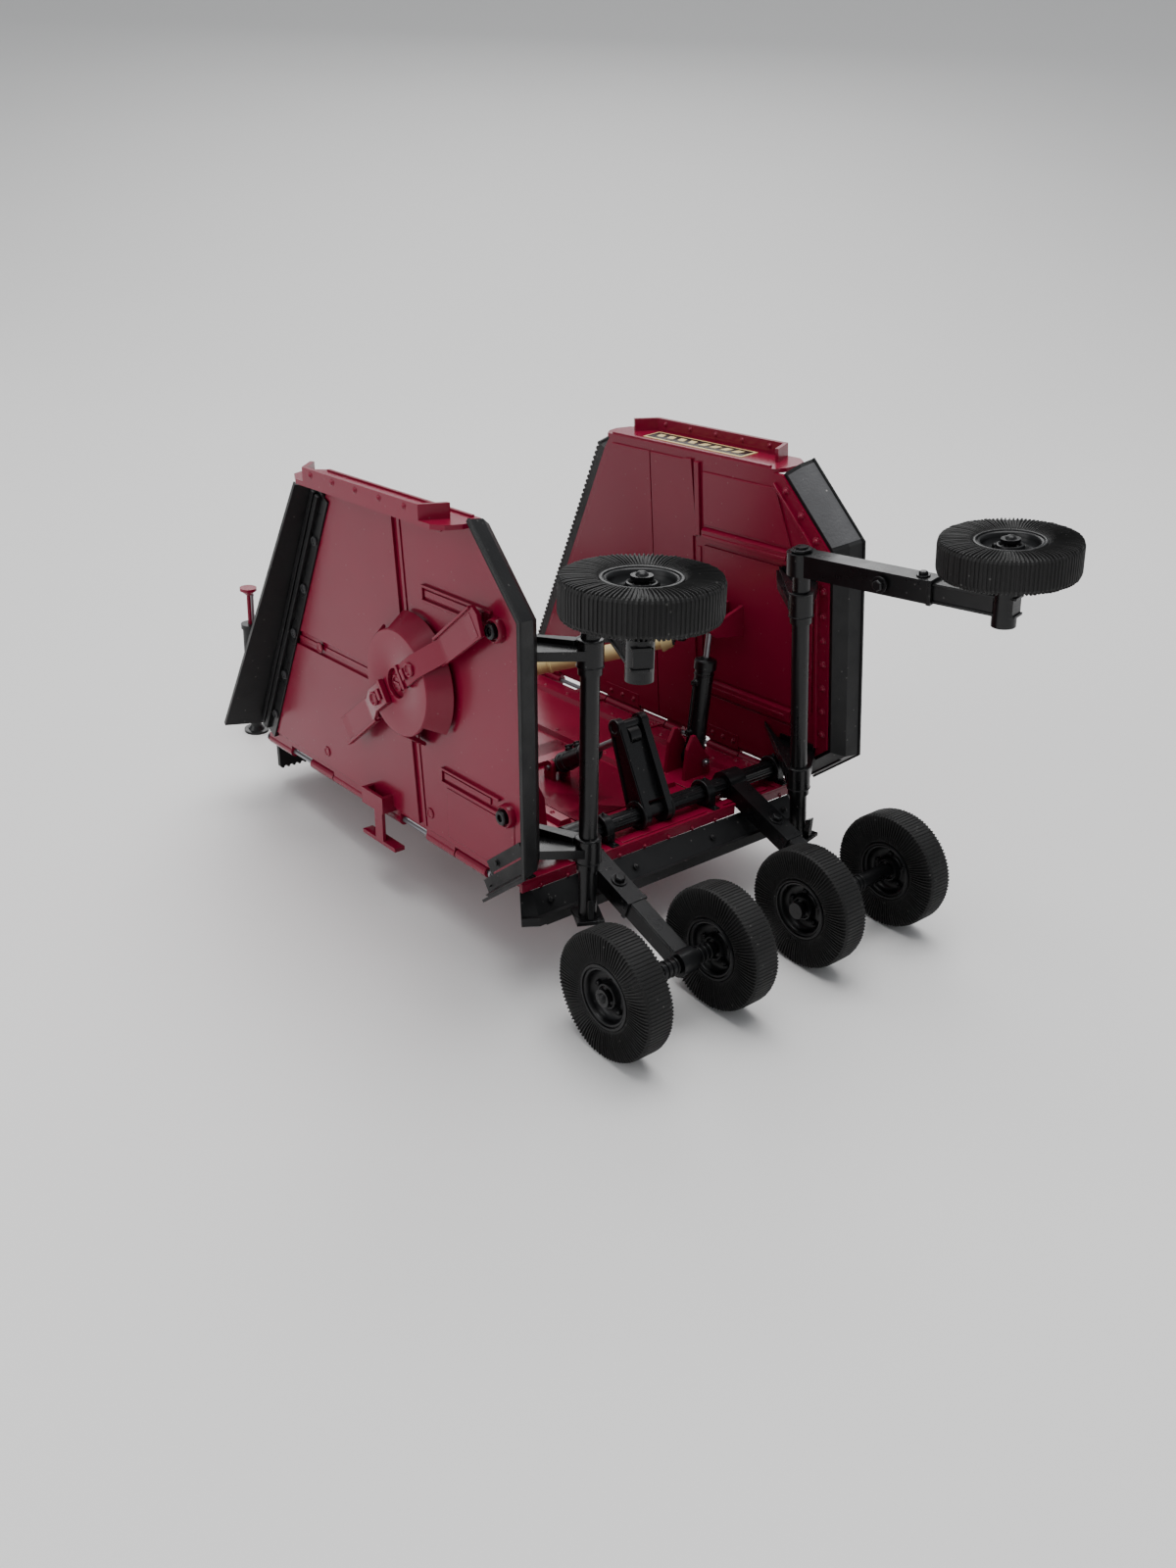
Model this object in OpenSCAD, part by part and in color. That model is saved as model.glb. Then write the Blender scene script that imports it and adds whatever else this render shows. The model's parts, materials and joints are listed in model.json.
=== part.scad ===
// Scale model of a folding-wing rotary cutter in its transport pose.
// World frame: +X machine right, +Y forward, +Z up. The origin is the middle of the
// hitch pin's bore, and the ground is at z = -beam_z.
// Ground frame: the same axes from the ground under the middle of the ground-wheel axle.
// Deck frame: x right, y forward along the deck, z up from the deck's top face.
// Wing frame: x outboard from the hinge line, y forward, z up from the wing's top face.

/* [Pose] */
// Nose-down tilt of the deck in degrees
deck_tilt = 4; // [2:0.5:5]
// Fold of the left wing in degrees, 0 is flat
fold_left = 90; // [85:1:95]
// Fold of the right wing in degrees, 0 is flat
fold_right = 95; // [88:1:97]
// Droop of the left wing's wheel arm in degrees
arm_droop_left = 28; // [10:1:30]
// Droop of the right wing's wheel arm in degrees
arm_droop_right = 8; // [4:1:30]

/* [Wheels] */
// Radius of a tyre
tyre_r = 16.7; // [15:0.1:18]
// Width of a tyre
tyre_w = 8; // [6:0.5:9]
// Radius of a rim where the tyre sits
rim_r = 8.1; // [7:0.1:9]
// Radius of the axle stubs
axle_r = 1.5; // [1.2:0.1:1.8]
// Distance of the inner ground wheels from the middle
inner_wheel_x = 16.6; // [14:0.2:18]
// Distance of the outer ground wheels from the middle
outer_wheel_x = 52.1; // [50:0.2:54]

/* [Centre deck] */
// Distance of a wing's hinge line from the middle
hinge_x = 53.4; // [53:0.1:55]
// Half width of the centre deck plate
deck_half_w = 51; // [50:0.2:51]
// Where the deck plate ends at the rear
deck_rear = -11; // [-13:0.5:-10]
// Where the deck plate ends at the front
deck_front = 120; // [118:0.5:122]
// Thickness of every cast plate
plate_t = 1.2; // [1:0.1:1.6]
// Outer radius of a hinge knuckle
knuckle_r = 1.6; // [1.4:0.1:1.7]
// Radius of the hinge pins
hinge_pin_r = 0.75; // [0.6:0.05:0.9]

/* [Wings] */
// Reach of a wing from its hinge line to the skirt
wing_reach = 92.5; // [90:0.5:94]
// Depth of the skirts and guards below the deck
skirt_depth = 13.1; // [11:0.1:14]
// Centre of a wing's blade pan, outboard of the hinge line
pan_v = 46.5; // [44:0.5:48]
// Centre of a wing's blade pan, forward of the deck origin
pan_u = 27; // [26:0.5:30]
// Radius of a blade pan
pan_r = 18; // [17:0.5:20]
// Reach of a blade tip from the pan's centre
blade_reach = 42; // [38:0.2:44.8]

/* [Axles and arms] */
// Length of the centre arms between shaft and axle
centre_arm = 47.4; // [46:0.2:49]
// Droop of the centre arms in degrees
centre_droop = 21.3; // [18:0.1:24]
// Length of the left wing wheel's arm
wing_arm_left = 48; // [46:0.5:54]
// Length of the right wing wheel's arm
wing_arm_right = 58; // [50:0.5:60]
// Height of the centre lift shaft above the deck
lift_shaft_w = 4.4; // [4.2:0.1:5]
// Height of a wing's wheel shaft above the wing
wing_shaft_w = 14; // [13:0.5:15]

/* [Hitch] */
// Distance of the hitch pin from the ground axle
hitch_y = 262; // [250:1:270]
// Radius of the hitch pin bore
hitch_bore_r = 1.6; // [1.3:0.1:1.8]

/* [Hidden] */
$fn = 48;

RED = [0.45, 0.02, 0.09];
BLACK = [0.05, 0.05, 0.05];
GREY = [0.2, 0.2, 0.21];
SILVER = [0.75, 0.76, 0.78];
CREAM = [0.85, 0.78, 0.5];
LEFT = -1;
RIGHT = 1;
// Radial clearance of every shaft that turns in a bore
running = 0.05;
// Radial clearance of the loose eyes at the ends of the cylinders
loose = 0.9;
// Overlap that joins two shapes of one solid
bite = 0.2;

// The deck origin is over this point, and the hinge lines are at its height
deck_y = 50;
deck_z = 26.1;

// Centre lift shaft in the deck frame, and the direction of its arms
lift_u = -5;
lift_shaft_r = 2.2;
arm_x = 29.5;
arm_half = 2.5;

// Wing wheel shaft in the wing frame
shaft_u = -23.3;
shaft_r = 2.4;
shaft_from = -8;

// Height of a blade pan's flat bottom under its plate's top face
pan_foot = -9;

// Outline of a wing's plate, clockwise from the hinge's rear end
wing_inner_v = 2.2;
wing_outline = [
    [wing_inner_v, -6], [wing_inner_v, 117], [4.5, 117.5], [wing_reach - 4, 72.5],
    [wing_reach - 0.6, 70], [wing_reach - 0.6, -3], [73.5, -20.5], [14, -21.3],
];
rear_path = [[wing_reach - 0.6, -3], [73.5, -20.5], [14, -21.3], [wing_inner_v, -6]];
front_path = [[4.5, 117.5], [wing_reach - 4, 72.5]];

// Hinge knuckles along the hinge line, as start and end
deck_knuckles = [[0, 13.5], [48, 60], [78, 91.5]];
wing_knuckles = [[14, 27.5], [40.5, 47.5], [60.5, 77.5], [103.5, 118]];

// Lift cylinder: base pin on the deck and eye pin in the mast
mast_x = -1.5;
mast_plates = [-5.5, 2.5];
lift_base = [37, 4];
lift_eye = [4.5, 24];
lift_barrel_len = 20;

// Fold cylinders: base pin on the deck and eye pin over the wing
fold_base_x = 34;
fold_base_w = 4.5;
fold_u = 15;
fold_lug_v = 46;
fold_lug_w = 11;
fold_barrel_len = 31;
// Distance of the two gusset fins from the fold cylinder's line
fin_gap = 4;

// Drivelines: joint at the centre gearbox and joint at a wing's gearbox
drive_hub = [7, 72, 22];
drive_end = [37, 32, 8.5];
drive_tube_len = 40;
drive_shaft_len = 46;

// Tongue: its pivots in the deck frame, and the jack
tongue_x = 44;
tongue_pivot = [116, 3.5];
jack_x = -38.5;
jack_y = 210;

function fold(side) = side > 0 ? fold_right : fold_left;
function droop(side) = side > 0 ? arm_droop_right : arm_droop_left;
function arm_len(side) = side > 0 ? wing_arm_right : wing_arm_left;
// Where a wing's wheel arm and wheel are, outboard of the hinge line
function arm_v(side) = side > 0 ? 75 : 79;
function wheel_v(side) = side > 0 ? 87 : 91.2;
function unit(v) = v / norm(v);
function left_of(v) = [-v[1], v[0]];
function flat2(p) = [p[0], p[1]];

// A point of a wing in the frame of the right half of the deck
function wing_to_deck(p, angle) = [
    hinge_x + p[0] * cos(angle) - p[2] * sin(angle),
    p[1],
    p[0] * sin(angle) + p[2] * cos(angle),
];
function deck_to_ground(p) = [
    p[0],
    deck_y + p[1] * cos(deck_tilt) + p[2] * sin(deck_tilt),
    deck_z - p[1] * sin(deck_tilt) + p[2] * cos(deck_tilt),
];

// ---------- frames and simple shapes ----------

module in_ground() {
    translate([0, -hitch_y, -beam_z]) children();
}

module in_deck() {
    in_ground() translate([0, deck_y, deck_z]) rotate([-deck_tilt, 0, 0]) children();
}

module on_side(side) {
    if (side > 0) children();
    else mirror([1, 0, 0]) children();
}

module in_wing(side) {
    in_deck() on_side(side) translate([hinge_x, 0, 0]) rotate([0, -fold(side), 0]) children();
}

module box(low, high) {
    translate(low) cube(high - low);
}

module rod_x(r, from, to) {
    translate([from, 0, 0]) rotate([0, 90, 0]) cylinder(r = r, h = to - from);
}

module rod_y(r, from, to) {
    translate([0, from, 0]) rotate([-90, 0, 0]) cylinder(r = r, h = to - from);
}

// Children's +Z turned to point from a to b, with a as the origin
module along(a, b) {
    d = b - a;
    flat = norm(flat2(d));
    translate(a) rotate([0, atan2(flat, d[2]), atan2(d[1], d[0])]) children();
}

// Extrudes a (y, z) outline along x
module plate_x(from, to) {
    translate([from, 0, 0]) rotate([90, 0, 90]) linear_extrude(to - from) children();
}

// Extrudes an (x, z) outline along y
module plate_y(from, to) {
    translate([0, to, 0]) rotate([90, 0, 0]) linear_extrude(to - from) children();
}

// Flat link with two round ends, as an exact outline
module link(a, ra, b, rb) {
    d = b - a;
    heading = atan2(d[1], d[0]);
    spread = acos((ra - rb) / norm(d));
    translate(a) circle(r = ra);
    translate(b) circle(r = rb);
    polygon([
        a + ra * [cos(heading + spread), sin(heading + spread)],
        b + rb * [cos(heading + spread), sin(heading + spread)],
        b + rb * [cos(heading - spread), sin(heading - spread)],
        a + ra * [cos(heading - spread), sin(heading - spread)],
    ]);
}

// Outward direction of a path at point i, long enough to keep a constant width
function path_out(path, i) = let(
    last = len(path) - 1,
    before = left_of(unit(path[max(i, 1)] - path[max(i, 1) - 1])),
    after = left_of(unit(path[min(i, last - 1) + 1] - path[min(i, last - 1)])),
    middle = unit(before + after)
) middle / (middle * before);

// Sweeps a closed profile of [offset, height] points along a flat path
module sweep(path, profile) {
    n = len(profile);
    last = len(path) - 1;
    points = [
        for (i = [0:last]) let(out = path_out(path, i)) for (p = profile)
            [path[i][0] + out[0] * p[0], path[i][1] + out[1] * p[0], p[1]]
    ];
    faces = concat(
        [[for (j = [0:n - 1]) j]],
        [for (i = [0:last - 1]) for (j = [0:n - 1])
            [i * n + j, (i + 1) * n + j, (i + 1) * n + (j + 1) % n, i * n + (j + 1) % n]],
        [[for (j = [0:n - 1]) last * n + n - 1 - j]]
    );
    polyhedron(points, faces, convexity = 4);
}

// Flat band of constant width beside a path, positive to its left
module path_band(path, width) {
    last = len(path) - 1;
    polygon(concat(
        path,
        [for (i = [last : -1 : 0]) path[i] + path_out(path, i) * width]
    ));
}

// ---------- centre deck ----------

module knuckle_set(list, leaf_low, leaf_high) {
    difference() {
        union() {
            for (k = list) {
                rod_y(knuckle_r, k[0], k[1]);
                box([leaf_low, k[0], -plate_t], [leaf_high, k[1], 0]);
            }
        }
        for (k = list) rod_y(hinge_pin_r + running, k[0] - 1, k[1] + 1);
    }
}

module centre_deck() {
    notch = arm_half + 1;
    flange = 2.5;
    color(RED) in_deck() {
        difference() {
            union() {
                box([-deck_half_w, deck_rear, -plate_t], [deck_half_w, deck_front, 0]);
                box([-deck_half_w, deck_rear, -flange], [deck_half_w, deck_rear + 1.2, -plate_t]);
            }
            for (s = [LEFT, RIGHT])
                box([s * arm_x - notch, deck_rear - 1, -flange - 1], [s * arm_x + notch, -3, 1]);
        }
        for (s = [LEFT, RIGHT]) on_side(s) translate([hinge_x, 0, 0])
            knuckle_set(deck_knuckles, deck_half_w - hinge_x - 0.01, -0.9);
    }
}

// Raised channel that runs along the deck between two points on one x
module deck_channel(x, from, to) {
    plate_y(from, to) translate([x, 0])
        polygon([[-2.4, 0], [-1.6, 1.5], [1.6, 1.5], [2.4, 0]]);
}

// A lug standing on the deck with a bore along x
module ear(x, u, w, r, bore, thick) {
    translate([x, 0, 0]) difference() {
        plate_x(-thick / 2, thick / 2) union() {
            translate([u, w]) circle(r = r);
            translate([u - r, 0]) square([2 * r, w]);
        }
        translate([0, u, w]) rod_x(bore, -thick, thick);
    }
}

// A lug and upright gusset beside a fold cylinder's foot, with a bore along y
module fin(u) {
    half_t = 0.6;
    difference() {
        plate_y(u - half_t, u + half_t) union() {
            translate([fold_base_x, fold_base_w]) circle(r = 2.4);
            polygon([
                [fold_base_x - 8, 0], [fold_base_x - 7, 10], [fold_base_x - 5, 14],
                [fold_base_x - 3.8, 14], [fold_base_x + 2.4, fold_base_w], [fold_base_x + 2.4, 0],
            ]);
        }
        translate([fold_base_x, 0, fold_base_w]) rod_y(hinge_pin_r + running, u - 1, u + 1);
    }
}

module deck_braces() {
    color(RED) in_deck() {
        for (s = [LEFT, RIGHT]) on_side(s) {
            deck_channel(43.5, 0, 108);
            deck_channel(20, 10, 112);
            for (side = [LEFT, RIGHT]) fin(fold_u + side * fin_gap);
            for (x = [tongue_x - 3.4, tongue_x + 3.4])
                ear(x, tongue_pivot[0], tongue_pivot[1], 2.6, hinge_pin_r + running, 1.4);
        }
        for (x = [mast_x - 2.7, mast_x + 2.7])
            ear(x, lift_base[0], lift_base[1], 2.2, hinge_pin_r + running, 1.2);
        box([-17, 46, 0], [17, 50, 1.6]);
        box([-17, 96, 0], [17, 100, 1.6]);
    }
}

// Closed profile of a sloping rubber strip with a turned lip
function strip_profile(start, reach, drop, lip) = [
    [0, start], [reach, start - drop], [reach + 1.2, start - drop],
    [reach + 1.2, start - drop - lip], [reach, start - drop - lip],
    [reach, start - drop - 1.4], [0, start - 1.3],
];

module centre_rear_deflector() {
    path = [[deck_half_w - 0.4, deck_rear + 1.6], [48, deck_rear - 0.1],
        [-48, deck_rear - 0.1], [-deck_half_w + 0.4, deck_rear + 1.6]];
    color(BLACK) in_deck() sweep(path, strip_profile(-2.6, 4.6, 5, 2.4));
}

module centre_chain_guard() {
    half = deck_half_w - 0.5;
    tooth = 2.02;
    count = floor(2 * half / tooth);
    foot = -skirt_depth + 1.5;
    color(BLACK) in_deck() difference() {
        union() {
            box([-half, deck_front, -3.2], [half, deck_front + 3.2, -0.6]);
            box([-half, deck_front + 0.8, foot - 1], [half, deck_front + 2.4, -2]);
            for (x = [-44 : 11 : 44])
                translate([x, deck_front + 1.6, -0.7]) cylinder(r = 1.1, h = 0.6);
        }
        for (i = [0 : count])
            translate([-half + i * tooth, deck_front, foot - 1]) rotate([-90, 0, 0])
                cylinder(r = 0.7, h = 4);
    }
}

module silver_pins() {
    color(SILVER) in_deck() {
        for (s = [LEFT, RIGHT]) on_side(s) {
            translate([hinge_x, 0, 0]) {
                rod_y(hinge_pin_r, -1.2, 119.2);
                rod_y(1.3, -1.8, -1.2);
                rod_y(1.3, 119.2, 119.8);
            }
            translate([fold_base_x, fold_u, fold_base_w]) rod_y(hinge_pin_r, -fin_gap - 1.3, fin_gap + 1.3);
            translate([tongue_x, tongue_pivot[0], tongue_pivot[1]]) rod_x(hinge_pin_r, -4.8, 4.8);
        }
        translate([mast_x, lift_base[0], lift_base[1]]) rod_x(hinge_pin_r, -4, 4);
    }
}

module shaft_bearings() {
    color(BLACK) in_deck() for (x = [-47.5, -19, 19, 47.5]) translate([x, 0, 0]) difference() {
        plate_x(-1.25, 1.25) union() {
            translate([lift_u, lift_shaft_w]) circle(r = 3.7);
            translate([lift_u - 3.7, 0]) square([7.4, lift_shaft_w]);
            translate([lift_u - 5.7, 0]) square([11.4, 1]);
        }
        translate([0, lift_u, lift_shaft_w]) rod_x(lift_shaft_r + running, -2, 2);
    }
}

module gearboxes() {
    // Divider gearbox with its two side stubs and front stub
    top = drive_hub[2] + 4;
    color(GREY) in_deck() translate([0, drive_hub[1], 0]) {
        box([-8, -9, 0], [8, 9, 1.5]);
        translate([0, 0, 1.5]) cylinder(r1 = 7.5, r2 = 5, h = 11);
        box([-4.8, -5.5, 12], [4.8, 6, top]);
        translate([0, 0, top - bite]) cylinder(r = 3.4, h = 1.4);
        translate([0, 0, drive_hub[2]]) {
            rod_x(2.2, -4.9, 4.9);
            rod_y(2.2, 5.5, 9);
        }
    }
}

// ---------- blade pans ----------

module pan_shape() {
    // Dish with a recessed hub and a conical wall, open towards the plate above it
    flat_r = pan_r - 3.7;
    rotate_extrude($fn = 96) polygon([
        [0, pan_foot + 0.4], [1.4, pan_foot + 0.4], [1.4, pan_foot + 1.4], [4, pan_foot + 1.4],
        [4, pan_foot], [flat_r, pan_foot], [pan_r, -3.4], [pan_r - 1.2, -3], [flat_r - 0.6, -7.8],
        [5.2, -7.8], [5.2, -6.4], [3, -6.4], [3, -1.6], [0, -1.6],
    ]);
}

module blade(angle) {
    // Strap bolted under the pan, with an upward step just past the pan's flat bottom
    root = 6;
    top = pan_foot - 0.1;
    step = 2.9;
    thick = 1.2;
    half_w = 3;
    rotate([0, 0, angle]) {
        plate_y(-half_w, half_w) polygon([
            [root, top], [18.6, top], [22.6, top + step], [blade_reach, top + step],
            [blade_reach, top + step - thick], [22.2, top + step - thick],
            [18.2, top - thick], [root, top - thick],
        ]);
        translate([10, 0, top - thick - 1]) cylinder(r = 1.7, h = 1 + bite);
    }
}

module blade_pair(lead) {
    blade(lead);
    blade(lead + 180);
}

module centre_blade_pan() {
    color(RED) in_deck() translate([0, drive_hub[1], 0]) pan_shape();
}

module centre_blades() {
    color(RED) in_deck() translate([0, drive_hub[1], 0]) blade_pair(35);
}

module wing_blade_pan(side) {
    color(RED) in_wing(side) translate([pan_v, pan_u, 0]) pan_shape();
}

module wing_blades(side) {
    color(RED) in_wing(side) translate([pan_v, pan_u, 0]) blade_pair(-54);
}

// ---------- centre axle ----------

module at_lift_shaft() {
    in_deck() translate([0, lift_u, lift_shaft_w]) children();
}

// Children's -Y points down the centre arms
module down_arm() {
    at_lift_shaft() rotate([centre_droop, 0, 0]) children();
}

module centre_lift_shaft() {
    color(BLACK) at_lift_shaft() {
        rod_x(lift_shaft_r, -49.6, 49.6);
        for (s = [LEFT, RIGHT]) on_side(s)
            translate([49.6, 0, 0]) rotate([0, 90, 0]) cylinder(r1 = lift_shaft_r, r2 = 1.4, h = 1);
    }
}

module lever_mast() {
    eye = [lift_eye[0] - lift_u, lift_eye[1] - lift_shaft_w];
    top = eye + [0.6, 3.2];
    color(BLACK) at_lift_shaft() difference() {
        union() {
            for (x = mast_plates) plate_x(x - 1, x + 1) link([0, 0], 4, top, 2.4);
            plate_x(mast_plates[0], mast_plates[1])
                polygon([[-0.5, 3.4], [2.2, 2.8], [6.6, 11.2], [4.4, 12]]);
            translate([0, eye[0], eye[1]]) rod_x(0.9, mast_plates[0], mast_plates[1]);
        }
        rod_x(lift_shaft_r, -10, 10);
    }
}

module axle_arms() {
    sleeve = 27;
    bar = 1.9;
    color(BLACK) down_arm() for (s = [LEFT, RIGHT]) on_side(s) difference() {
        union() {
            rod_x(4, arm_x - 3.2, arm_x + 3.2);
            box([arm_x - 3, -sleeve, -arm_half], [arm_x + 3, 0, arm_half]);
            box([arm_x - bar, -centre_arm + 3, -bar], [arm_x + bar, -sleeve + bite, bar]);
            translate([0, -centre_arm, 0]) rod_x(3.4, arm_x - 2.6, arm_x + 2.6);
            box([arm_x - 2.6, -centre_arm, -2], [arm_x + 2.6, -centre_arm + 6, 2]);
        }
        rod_x(lift_shaft_r, arm_x - 4, arm_x + 4);
        translate([0, -centre_arm, 0]) rod_x(axle_r, arm_x - 4, arm_x + 4);
    }
}

module ground_axles() {
    cap = 0.8;
    from = inner_wheel_x - tyre_w / 2 - 0.4;
    to = outer_wheel_x + tyre_w / 2 - 0.6;
    color(BLACK) down_arm() translate([0, -centre_arm, 0]) for (s = [LEFT, RIGHT]) on_side(s) {
        rod_x(axle_r, from, to);
        rod_x(2.3, from - cap, from);
        rod_x(2.3, to, to + cap);
        rod_x(2.1, inner_wheel_x + 3.4, arm_x - 2.8);
        rod_x(2.1, arm_x + 2.8, outer_wheel_x - 3.4);
    }
}

// ---------- wheels, turned about their own x axis ----------

module tyre() {
    half = tyre_w / 2;
    edge = 1.3;
    color(BLACK) rotate([0, 90, 0]) rotate_extrude($fn = 96) union() {
        translate([rim_r, -half + 0.3]) square([tyre_r - rim_r - edge, tyre_w - 0.6]);
        translate([rim_r + 1, -half]) square([tyre_r - rim_r - edge - 1, tyre_w]);
        translate([rim_r + 2, -half + edge]) square([tyre_r - rim_r - 2, tyre_w - 2 * edge]);
        for (s = [-1, 1]) translate([tyre_r - edge, s * (half - edge)]) circle(r = edge, $fn = 24);
    }
}

module rim() {
    half = tyre_w / 2 - 0.5;
    bore = axle_r + running;
    color(BLACK) rotate([0, 90, 0]) rotate_extrude($fn = 96) polygon([
        [bore, -half + 0.8], [2.6, -half + 0.8], [3.2, -half + 2], [5.6, -half + 2.4],
        [6.7, -half], [rim_r, -half], [rim_r, half], [6.7, half],
        [5.6, half - 2.4], [3.2, half - 2], [2.6, half - 0.8], [bore, half - 0.8],
    ]);
}

module at_ground_wheel(x) {
    down_arm() translate([x, -centre_arm, 0]) children();
}

// ---------- lift cylinder ----------

module lift_line() {
    in_deck() along([mast_x, lift_base[0], lift_base[1]], [mast_x, lift_eye[0], lift_eye[1]])
        children();
}

lift_len = norm(lift_eye - lift_base);

// Barrel along z with its base eye at the origin, the eye's axis along y
module cylinder_barrel(r, bore, length, eye_r, eye_t) {
    difference() {
        union() {
            rod_y(eye_r, -eye_t / 2, eye_t / 2);
            translate([0, 0, 1.2]) cylinder(r = eye_r - 0.4, h = 3);
            translate([0, 0, 3]) cylinder(r = r, h = length - 3);
            translate([0, 0, length - 2]) cylinder(r = r + 0.35, h = 1.6);
        }
        rod_y(hinge_pin_r + running, -eye_t, eye_t);
        translate([0, 0, 4.5]) cylinder(r = bore + running, h = length);
    }
}

// Rod along z with its eye centred at z = to, the eye's axis along y
module cylinder_rod(r, from, to, eye_r, eye_t, hole) {
    difference() {
        union() {
            translate([0, 0, from]) cylinder(r = r, h = to - from);
            translate([0, 0, to]) rod_y(eye_r, -eye_t / 2, eye_t / 2);
        }
        translate([0, 0, to]) rod_y(hole, -eye_t, eye_t);
    }
}

module lift_cylinder_barrel() {
    color(BLACK) lift_line() cylinder_barrel(2.9, 1.1, lift_barrel_len, 2, 3.6);
}

module lift_cylinder_rod() {
    color(SILVER) lift_line() cylinder_rod(1.1, 11.8, lift_len, 2.8, 3.4, 0.9 + loose);
}

// ---------- wings ----------

module wing_rib(v, from, to) {
    plate_y(from, to) translate([v, 0])
        polygon([[-2.4, 0], [-1.7, 1.5], [1.7, 1.5], [2.4, 0]]);
}

module wing_deck(side) {
    rim_t = 1;
    lip = 2.6;
    gap = 2.4;
    latch_u = 43;
    color(RED) in_wing(side) {
        translate([0, 0, -plate_t]) linear_extrude(plate_t) polygon(wing_outline);
        // Shallow flange under the rear edge
        translate([0, 0, -lip]) linear_extrude(lip) path_band(rear_path, -rim_t);
        // Channels on the top face
        wing_rib(69, -13.5, 28);
        wing_rib(20.8, -8, 28);
        translate([68, 32.5, -bite]) rotate([0, 0, 4]) box([0, -1.6, 0], [23, 1.6, 1]);
        translate([4, 31.5, -bite]) rotate([0, 0, -1]) box([0, -1.6, 0], [16, 1.6, 1]);
        // Lugs for the fold cylinder
        for (u = [fold_u - gap - 1.2, fold_u + gap])
            plate_y(u, u + 1.2) {
                translate([fold_lug_v, fold_lug_w]) circle(r = 2.3);
                polygon([
                    [fold_lug_v - 5, -bite], [fold_lug_v - 2.3, fold_lug_w],
                    [fold_lug_v + 2.3, fold_lug_w], [fold_lug_v + 5, -bite],
                ]);
            }
        // Latch box and hook beside the hinge
        translate([0, latch_u, 0]) {
            box([wing_inner_v, 0, -5.4], [7, 1.2, -1]);
            box([wing_inner_v, 9.8, -5.4], [7, 11, -1]);
            box([wing_inner_v, 0, -5.6], [7, 11, -4.6]);
            box([-7, 0.5, -5.6], [wing_inner_v + 0.5, 4.5, -4.6]);
            box([-7.6, -5.5, -5.6], [-6.4, 11.5, -2.4]);
        }
        knuckle_set(wing_knuckles, 0.9, wing_inner_v + 0.01);
    }
}

module wing_skirt(side) {
    runner_v = wing_reach + 4.3;
    foot = -skirt_depth;
    t = 1.2;
    from = 0.2;
    to = 72;
    color(RED) in_wing(side) {
        // Upright plate under the wing's outer edge
        translate([wing_reach - 0.6, 0, 0]) plate_x(0, t) polygon([
            [from, 0], [from - 2, -3], [from - 2.6, -7], [from - 1, -11], [from + 2, foot],
            [to - 7, foot], [to - 0.5, -10], [to + 1.6, -6], [to + 1, -2.6], [to - 1.2, 0],
        ]);
        // Runner that stands outward along the plate's foot, turned up at its front
        plate_x(wing_reach + 0.4, runner_v) polygon([
            [4.1, -6], [5.3, -6], [7.8, foot + t], [60.5, foot + t],
            [65.6, foot + 6.2], [66.8, foot + 5.6], [61.2, foot], [7, foot],
        ]);
    }
}

module wing_rear_deflector(side) {
    keep = 140;
    color(BLACK) in_wing(side) intersection() {
        sweep(rear_path, [
            [0.1, -0.6], [1, -0.6], [4, -3.8], [5, -8.4], [4, -8.6], [3, -4.4], [0.1, -1.7],
        ]);
        box([0.4, -40, -20], [keep, 10, 0]);
    }
}

// A strap under the front edge and a hanging panel that leans forward
module wing_front_guard(side) {
    a = front_path[0];
    b = front_path[1];
    length = norm(b - a) - 1;
    lean = 12;
    root = 1.8;
    deep = -skirt_depth;
    shallow = -6.4;
    color(BLACK) in_wing(side) translate([a[0], a[1], 0])
        rotate([0, 0, atan2(b[1] - a[1], b[0] - a[0])]) {
            box([0, 0.1, -2.8], [length, root + 1, -0.6]);
            translate([0, root, -1.6]) rotate([lean, 0, 0]) plate_y(0, 1.4)
                polygon([[0, 0], [length, 0], [length, shallow], [0, deep]]);
        }
}

module wing_gearbox(side) {
    aim = atan2(drive_hub[1] - drive_end[1], drive_hub[0] - drive_end[0] - hinge_x);
    color(GREY) in_wing(side) {
        translate([pan_v, pan_u, 0]) {
            cylinder(r = 5.8, h = 1.4);
            translate([0, 0, 1.4 - bite]) cylinder(r1 = 4.6, r2 = 4, h = 3.6);
            translate([0, 0, 4.6]) cylinder(r = 4.4, h = 6.6);
            translate([0, 0, 11.2 - bite]) cylinder(r = 2.4, h = 1.4);
        }
        translate([pan_v, pan_u, drive_end[2]]) rotate([0, 0, aim]) rod_x(2.2, 4, 9.2);
    }
}

module wing_shaft_brackets(side) {
    color(BLACK) in_wing(side) for (v = [11.5, 63.5]) translate([v, 0, 0]) difference() {
        union() {
            translate([0, shaft_u, wing_shaft_w]) rod_x(3.3, -3, 3);
            plate_x(-1.2, 1.2) polygon([
                [-1, 0], [-17, 0], [shaft_u - 2, wing_shaft_w - 2.6],
                [shaft_u + 2, wing_shaft_w + 3], [-8, 7],
            ]);
            box([-2.8, -17, 0], [-1, -4, 1.2]);
            box([1, -17, 0], [2.8, -4, 1.2]);
        }
        translate([0, shaft_u, wing_shaft_w]) rod_x(shaft_r + running, -4, 4);
    }
}

module at_wing_shaft(side) {
    in_wing(side) translate([0, shaft_u, wing_shaft_w]) children();
}

module down_wing_arm(side) {
    at_wing_shaft(side) rotate([droop(side), 0, 0]) children();
}

module wheel_shaft(side) {
    color(BLACK) at_wing_shaft(side) {
        rod_x(shaft_r, shaft_from, arm_v(side) - 3);
        rod_x(3.3, shaft_from, shaft_from + 1.2);
        rod_x(3, 6.2, 8);
        rod_x(3, 58.2, 60);
        rod_x(1.7, arm_v(side) - 3, arm_v(side) + 4.4);
    }
}

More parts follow.
